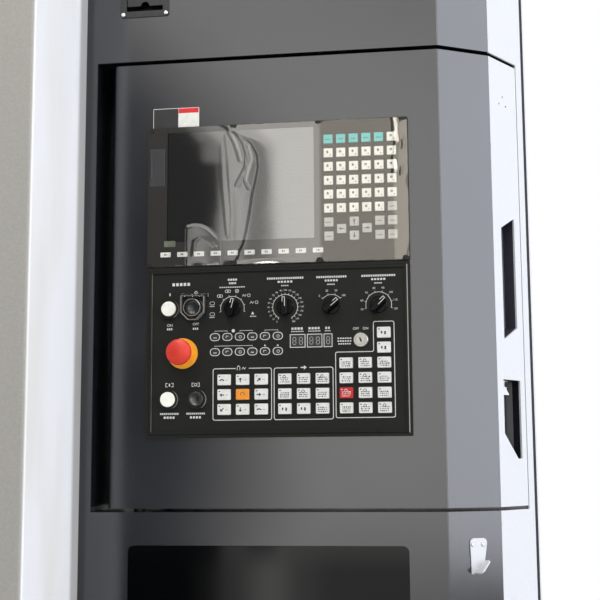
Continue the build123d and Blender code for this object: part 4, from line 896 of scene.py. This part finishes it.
def lock_face():
    """Dark seam round the barrel, and a dark sheet over the key slot as painted shade, which turns with the
    barrel.
    """
    seam = Sheet("lock_seam", "console", "print_grey", OP_FACE + LOCK_PROUD + PRINT_LIFT)
    seam.ring(*LOCK, LOCK_BARREL_R + 0.4, 0.6)
    seam.finish()
    hole_out = OP_FACE + LOCK_PROUD + LOCK_BARREL_PROUD + PRINT_LIFT
    # Painted shade: a dark sheet over the key slot
    hole = Sheet("keyhole_shade", "key_lock_barrel", "plate_black", hole_out)
    turn = Matrix.Rotation(math.radians(LOCK_SLOT_ANGLE), 2)
    outline = rounded_points(0.0, 0.0, 2.6, 6.0, 1.2)
    hole.polygon([Vector(LOCK) + turn @ Vector(point) for point in outline])
    hole.finish()


def guard_sheet(name, out, material="edge_light"):
    return Sheet(name, "power_off_guard", material, OP_FACE + out)


def guard_edge_highlights():
    """Painted highlights on the clear guard's edges: outline, a step down its walls and a ring, with a
    painted glint on the ring.
    """
    x, z = POWER_OFF_X, KNOB_ROW_Z + 0.7
    half = GUARD_W / 2
    cut = half - GUARD_CORNER
    corners = [(-half, half), (-half, -cut), (-cut, -half), (cut, -half), (half, -cut), (half, half)]
    ring_r = GUARD_RING_R - GUARD_WALL / 2
    face = GUARD_D + GUARD_WALL + PRINT_LIFT
    edges = guard_sheet("guard_edge_highlights", GUARD_D + PRINT_LIFT)
    edges.path([(x + px * 0.98, z + pz * 0.98) for px, pz in corners], 0.45, closed=True)
    feet = guard_sheet("guard_step_highlight", GUARD_D * GUARD_STEP)
    feet.path([(x + px * 0.97, z + pz * 0.97) for px, pz in corners], 0.6)
    ring = guard_sheet("guard_ring_highlight", face)
    ring.ring(x, z, ring_r, 0.6)
    # Painted glint on the ring's upper right
    glints = guard_sheet("guard_glints", face + PRINT_LIFT, "print_white")
    glints.arc(x, z, ring_r, 28, 74, 1.0)
    for sheet in (edges, feet, ring, glints):
        sheet.finish()


# Display unit

CAP_CORNER = 0.6
PLATE_CORNER = 1.2
FIELD_LIFT = 0.05
FIELD_INSET = 0.8


def mdi_key(column, row, material, symbol="plain"):
    return MDI_KEY_X + column * MDI_PITCH_X, MDI_KEY_Z - row * MDI_PITCH_Z, material, symbol


def mdi_places():
    """Key places with their colours: the first row, the full rows, then the arrow cross."""
    places = []
    for row in range(6):
        for column in range(6):
            material = "key_teal" if row == 0 and column < 5 else "key_cream"
            places.append(mdi_key(column, row, "key_grey" if row == column == 5 else material))
    for row, turn in ((6, "up"), (7, "down")):
        for column in (0, 2, 4, 5):
            places.append(mdi_key(column, row, "key_grey", turn if column == 2 else "plain"))
    return places + [mdi_key(1, 6.5, "key_grey", "left"), mdi_key(3, 6.5, "key_grey", "right")]


def soft_places():
    return [(SOFT_X + k * SOFT_PITCH, SOFT_Z) for k in range(SOFT_COUNT)]


def mdi_caps():
    slots = ["key_cream", "key_grey", "key_teal", "key_white"]
    mesh = bmesh.new()
    top = MDI_FACE + MDI_KEY_PROUD + CAP_OVER
    width = MDI_KEY + CAP_WIDER
    for x, z, material, _ in mdi_places():
        add_cap(mesh, x, z, width, width, MDI_FACE, top, CAP_CORNER, 0.45, slots.index(material))
    for x, z in soft_places():
        add_cap(mesh, x, z, SOFT_W + CAP_WIDER, SOFT_H + CAP_WIDER, MDI_FACE, top, CAP_CORNER, 0.4, 3)
    finish_caps("mdi_key_caps", mesh, slots)


def mdi_print():
    sheet = Sheet("mdi_print", "console", "print_black", MDI_FACE + MDI_KEY_PROUD + 2 * PRINT_LIFT)
    for index, (x, z, material, symbol) in enumerate(mdi_places()):
        if symbol in TURNS:
            arrow(sheet, x, z, 8.5, TURNS[symbol], 1.2)
        elif material == "key_cream":
            sheet.dashes(x - 0.5, z + 1.2, 3.6, 3.4, 1 + index % 2)
            sheet.rectangle(x + 2.6, x + 4.0, z - 4.4, z - 3.0)
        else:
            sheet.dashes(x, z - 0.6, 7.5, 1.3, 4)
    first, *places, last = soft_places()
    for x, z in places:
        sheet.dashes(x, z, 5.0, 2.4, 2)
    arrow(sheet, *first, 5.5, TURNS["left"], 1.0)
    arrow(sheet, *last, 5.5, TURNS["right"], 1.0)
    sheet.finish()


def plate_piece(name, outline, out, thickness, material, *fields):
    """Thin plate with flat fields of colour. Edges are x0, x1, z0, z1, in a field after its material."""
    mesh = bmesh.new()
    x0, x1, z0, z1 = outline
    face_out = out + thickness
    add_cap(mesh, (x0 + x1) / 2, (z0 + z1) / 2, x1 - x0, z1 - z0, out, face_out, PLATE_CORNER, 0.2)
    finish_caps(name, mesh, [material])
    for index, (field_material, *edges) in enumerate(fields, start=1):
        field = Sheet(f"{name}_field_{index}", "console", field_material, face_out + FIELD_LIFT)
        field.rectangle(*edges)
        field.finish()


def plates():
    x0, x1, z0, z1 = PLATE
    top = z1 - FIELD_INSET
    plate_piece("label_plate", PLATE, 0.0, PLATE_T, "plate_white",
                ("plate_black", x0 + FIELD_INSET, PLATE_FIELD_X, z0 + FIELD_INSET, top),
                ("plate_red", PLATE_FIELD_X + 0.4, x1 - FIELD_INSET, z1 - 8.4, top))
    plate_piece("small_plate", SMALL_PLATE, MDI_FACE, 0.25, "plate_green")


# Protective film

FILM_X = (-167.0, 199.0)
FILM_Z = (362.9, 579.3)
FILM_W = FILM_X[1] - FILM_X[0]
FILM_H = FILM_Z[1] - FILM_Z[0]
FILM_OUT = 6.6
FILM_COLUMNS = 240
FILM_ROWS = 142
SCREWS_X = (-65.5, 65.5, 194.3)
SCREWS_Z = (363.5, 580.1)
SCREW_HOLE_R = 5.0
# Creases, steep on one side: half width there, how much wider the other is, height, points across and up
FILM_CREASES = (
    (2.2, 14.0, 0.13, (-73.0, 573.0), (-52.0, 562.0), (-38.0, 551.0), (-27.5, 532.0), (-26.0, 511.0),
     (-30.0, 490.0), (-35.0, 470.0), (-39.5, 439.0), (-44.5, 413.0), (-49.0, 393.0), (-57.0, 378.0)),
    (2.0, 2.3, 0.09, (-64.0, 569.0), (-50.5, 550.0), (-46.0, 533.0), (-47.5, 512.0), (-55.0, 497.0),
     (-61.0, 486.0)),
    (1.8, 2.3, 0.10, (-74.0, 569.0), (-66.0, 554.0), (-60.0, 538.0), (-56.0, 523.0)),
    (1.8, 2.3, 0.08, (-44.0, 545.0), (-40.0, 524.0), (-46.0, 506.0), (-49.0, 491.0), (-42.0, 478.0)),
    (2.6, 2.3, 0.035, (-78.0, 566.0), (-74.0, 526.0), (-71.0, 479.0), (-68.0, 440.0), (-69.0, 404.0)),
    (2.6, 2.3, 0.03, (-85.0, 545.0), (-83.0, 495.0), (-78.5, 448.0), (-75.0, 408.0)),
    (1.4, 2.3, 0.055, (-127.0, 380.0), (-125.0, 399.0), (-118.0, 404.0), (-106.0, 400.0), (-95.0, 391.0)),
    (2.4, 2.3, 0.10, (128.0, 415.0), (112.0, 424.0), (96.0, 420.0), (84.0, 408.0)),
)
# Soft swellings: place across and up, half widths and height
FILM_SWELLINGS = (
    (78.0, 392.0, 34.0, 30.0, 0.20),
    (150.0, 470.0, 30.0, 52.0, 0.22),
    (96.0, 560.0, 40.0, 24.0, 0.18),
)
WAVE_H = 0.05
# Strips along the right and the lower edge that lift
RIGHT_EDGE_X = 189.0
RIGHT_EDGE_W = 10.0
LOW_EDGE_H = 9.0
# Bulge of the lower edge: place across, half width and height
LOW_BULGE = (-20.0, 30.0, 1.7)
# Upright folds near the right edge: start, width of the rise, width of the fall, height, and lower end as a
# share of the film's height. The second one's start counts from the first's
CURL = (176.5, 2.0, 7.5, 1.5, 0.5)
SECOND_CURL = (12.5, 0.9, 4.5, 0.8, 0.45)
# Slack at the lower left: left end, where and over what width it ends, height
LOBE = (-142.0, -86.0, 56.0, 0.9)
# Its upper edge: top, across and up, and how fast it curves down
LOBE_TOP = (-126.0, 428.0, 0.017)
# Above a line the film leans back: place on the line, its fall, how far up the lean grows and by how much
SLOPE = (-64.0, 568.0, 0.38, 18.0, 0.02)


def clamp(value):
    return min(1.0, max(0.0, value))


def ease(value):
    value = clamp(value)
    return value * value * (3 - 2 * value)


def hill(value):
    return math.exp(-value ** 2)


def film_relief(x, z):
    """How far the film stands off its lowest plane, in millimetres."""
    across = (x - FILM_X[0]) / FILM_W
    up = (z - FILM_Z[0]) / FILM_H
    lift = WAVE_H * (1.0 + math.sin(4.0 * across * math.pi + 2.5 * up) * math.sin(3.0 * up + 0.6))
    for half_width, wider, height, *points in FILM_CREASES:
        gap = min((gap_to_run(x, z, *run) for run in zip(points, points[1:])), key=abs)
        lift += height * hill(gap / (half_width * (wider if gap > 0 else 1.0)))
    for at_x, at_z, half_x, half_z, height in FILM_SWELLINGS:
        lift += height * hill((x - at_x) / half_x) * hill((z - at_z) / half_z)
    right = max(0.0, (x - RIGHT_EDGE_X) / RIGHT_EDGE_W)
    lift += right * right * (0.24 + 0.12 * math.sin(13.0 * up + 1.0) + 0.06 * math.sin(37.0 * up))
    low = max(0.0, 1.0 - (z - FILM_Z[0]) / LOW_EDGE_H)
    at_x, half_x, height = LOW_BULGE
    lift += low * low * (0.2 + height * hill((x - at_x) / half_x) + 0.15 * math.sin(47.0 * across))
    return lift + lower_lobe(x, z) + upper_slope(x, z) + curl(x, up)


def gap_to_run(x, z, start, end):
    """Distance from a straight run of a crease, below 0 on the left of a run that goes down."""
    run_x, run_z = end[0] - start[0], end[1] - start[1]
    share = clamp(((x - start[0]) * run_x + (z - start[1]) * run_z) / (run_x ** 2 + run_z ** 2))
    gap = math.hypot(x - start[0] - share * run_x, z - start[1] - share * run_z)
    return math.copysign(gap, run_x * (z - start[1]) - run_z * (x - start[0]))


def lower_lobe(x, z):
    """Slack that is round at its top and falls gently to the right."""
    left, end, width, height = LOBE
    top_x, top_z, curve = LOBE_TOP
    below = top_z - curve * (x - top_x) ** 2 - z
    return height * ease((x - left) / 4.0) * clamp((end - x) / width) * ease(below / 5.0)


def upper_slope(x, z):
    """Lean back towards the panel above a line that falls to the right."""
    at_x, at_z, fall, reach, lean = SLOPE
    over = z - at_z + fall * (x - at_x)
    return -lean * min(reach, max(0.0, over)) * ease((x + 74.0) / 8.0) * ease((62.0 - x) / 70.0)


def fold(across, rise, fall):
    """Steep on its left, sloping to the right."""
    return ease(across / rise) * clamp(1.0 - (across - rise) / fall)


def curl(x, up):
    """The two upright folds, which wander and change in height on their way up."""
    start, rise, fall, height, end = CURL
    across = x - start - 1.6 * math.sin(17.0 * up) - 0.7 * math.sin(41.0 * up)
    first = height * fold(across, rise, fall) * ease((up - end) / 0.15) * (0.8 + 0.2 * math.sin(23.0 * up))
    start, rise, fall, height, end = SECOND_CURL
    second = height * fold(across - start, rise, fall) * ease((up - end) / 0.2)
    return first + second * max(0.0, math.sin(33.0 * up))


def film():
    mesh = bmesh.new()
    grid = []
    for j in range(FILM_ROWS + 1):
        z = FILM_Z[0] + FILM_H * j / FILM_ROWS
        places = [FILM_X[0] + FILM_W * i / FILM_COLUMNS for i in range(FILM_COLUMNS + 1)]
        grid.append([mesh.verts.new(front(x, z, FILM_OUT + film_relief(x, z))) for x in places])
    for low, high in zip(grid, grid[1:]):
        for k in range(FILM_COLUMNS):
            mesh.faces.new([low[k], low[k + 1], high[k + 1], high[k]]).smooth = True
    heads = [front(x, z, FILM_OUT) for x in SCREWS_X for z in SCREWS_Z]
    hole_r = SCREW_HOLE_R * MM
    cut = [v for v in mesh.verts if any(math.hypot(v.co.x - h.x, v.co.z - h.z) < hole_r for h in heads)]
    bmesh.ops.delete(mesh, geom=cut, context="VERTS")
    piece = make_piece("film_sheet", mesh, "console", ["clear_film"])
    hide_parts("protective_film")


# Studio

# Place, target, size, power and colour
LIGHTS = {
    "key": ((4.9, -1.75, 2.5), (0.1, -0.06, 1.35), (4.2, 4.2), 240.0, (0.86, 0.9, 1.0)),
    "fill": ((-0.3, -2.3, 4.0), (0.0, 0.0, 1.3), (2.0, 1.2), 52.0, (1.0, 1.0, 0.99)),
    "back": ((0.6, 4.2, 2.9), (0.0, 0.3, 1.2), (2.8, 2.2), 110.0, (1.0, 1.0, 1.0)),
    "left": ((-4.2, -0.6, 2.4), (0.0, 0.0, 1.1), (2.4, 2.4), 60.0, (1.0, 1.0, 1.0)),
}


def floor():
    mesh = bmesh.new()
    bmesh.ops.create_grid(mesh, x_segments=1, y_segments=1, size=FLOOR_HALF)
    new_object("floor", mesh, [new_material("floor", rgb(222, 222, 220), 0.7)[0]])


def area_light(name, place, target, size, power, colour):
    light = bpy.data.lights.new(name, "AREA")
    light.shape = "RECTANGLE"
    light.size, light.size_y = size
    light.energy = power
    light.color = colour
    lamp = bpy.data.objects.new(name, light)
    lamp.location = place
    lamp.rotation_euler = (Vector(target) - Vector(place)).to_track_quat("-Z", "Y").to_euler()
    bpy.context.scene.collection.objects.link(lamp)


def studio_world():
    """White behind the object. Gloss mirrors upright bright and dark bands of a workshop in front of it."""
    world = bpy.data.worlds.new("studio")
    world.use_nodes = True
    tree = world.node_tree

    def joined(operation, one, two=0.0):
        return result(tree, "Math", one, two, operation=operation)

    def bands(value, levels, top=1.0, tint=(1.0, 1.0, 1.0)):
        """Levels at places from -1 to 1, each over top."""
        stops = []
        for place, level in levels:
            stops.append(((place + 1) / 2, shade(tint, level / top)))
        return ramp(tree, joined("ADD", joined("MULTIPLY", value, 0.5), 0.5), stops, "EASE")

    x, y, z = add_node(tree, "SeparateXYZ", add_node(tree, "TexCoord").outputs["Generated"]).outputs
    side = joined("DIVIDE", x, joined("MAXIMUM", joined("ABSOLUTE", y), 0.02))
    lean = joined("MULTIPLY", joined("MAXIMUM", joined("SUBTRACT", z, LEAN_FROM)), LEAN)
    side = joined("ADD", side, lean)
    middle, high, low = (bands(side, levels, BAND_TOP, MIRROR_TINT)
                         for levels in (SIDE_BANDS, HIGH_SIDE_BANDS, LOW_SIDE_BANDS))
    upper = result(tree, "MixRGB", result(tree, "MapRange", z, *HIGH_BANDS_AT, 0.0, 1.0), middle, high)
    across = result(tree, "MixRGB", result(tree, "MapRange", z, *LOW_BANDS_AT, 1.0, 0.0), upper, low)
    gloss = result(tree, "VectorMath", across, bands(z, HEIGHT_BANDS), operation="MULTIPLY")
    scaled = result(tree, "VectorMath", gloss, operation="SCALE", Scale=BAND_TOP)
    path = add_node(tree, "LightPath").outputs
    mirrored = result(tree, "MixRGB", path["Is Glossy Ray"], (AMBIENT, AMBIENT, AMBIENT, 1.0), scaled)
    seen = joined("MAXIMUM", path["Is Camera Ray"], path["Is Transmission Ray"])
    background = tree.nodes["Background"].inputs
    background["Strength"].default_value = 1.0
    feed(tree, background["Color"], result(tree, "MixRGB", seen, mirrored, WHITE))
    bpy.context.scene.world = world


def camera():
    left, up, roll = (math.radians(a) for a in (CAMERA_LEFT, CAMERA_UP, CAMERA_ROLL))
    right0 = Vector((math.cos(left), math.sin(left), 0.0))
    level = Vector((-math.sin(left), math.cos(left), 0.0))
    ahead = math.cos(up) * level + math.sin(up) * Vector((0.0, 0.0, 1.0))
    up0 = right0.cross(ahead)
    right = math.cos(roll) * right0 + math.sin(roll) * up0
    above = -math.sin(roll) * right0 + math.cos(roll) * up0
    lens = bpy.data.cameras.new("camera")
    lens.lens = CAMERA_LENS
    lens.sensor_width = CAMERA_SENSOR
    lens.clip_start = 0.05
    eye = bpy.data.objects.new("camera", lens)
    turn = Matrix((right, above, -ahead)).transposed()
    eye.matrix_world = Matrix.Translation(Vector(CAMERA_PLACE) * MM) @ turn.to_4x4()
    bpy.context.scene.collection.objects.link(eye)
    bpy.context.scene.camera = eye


def studio():
    floor()
    camera()
    studio_world()
    for name, settings in LIGHTS.items():
        area_light(name, *settings)
    bpy.context.scene.view_settings.view_transform = "Standard"


random.seed(7)
dress_nodes()
machine_key_caps()
machine_key_print()
panel_print()
panel_lamps()
knob_pointer_highlights()
lock_face()
guard_edge_highlights()
mdi_caps()
mdi_print()
plates()
film()
studio()
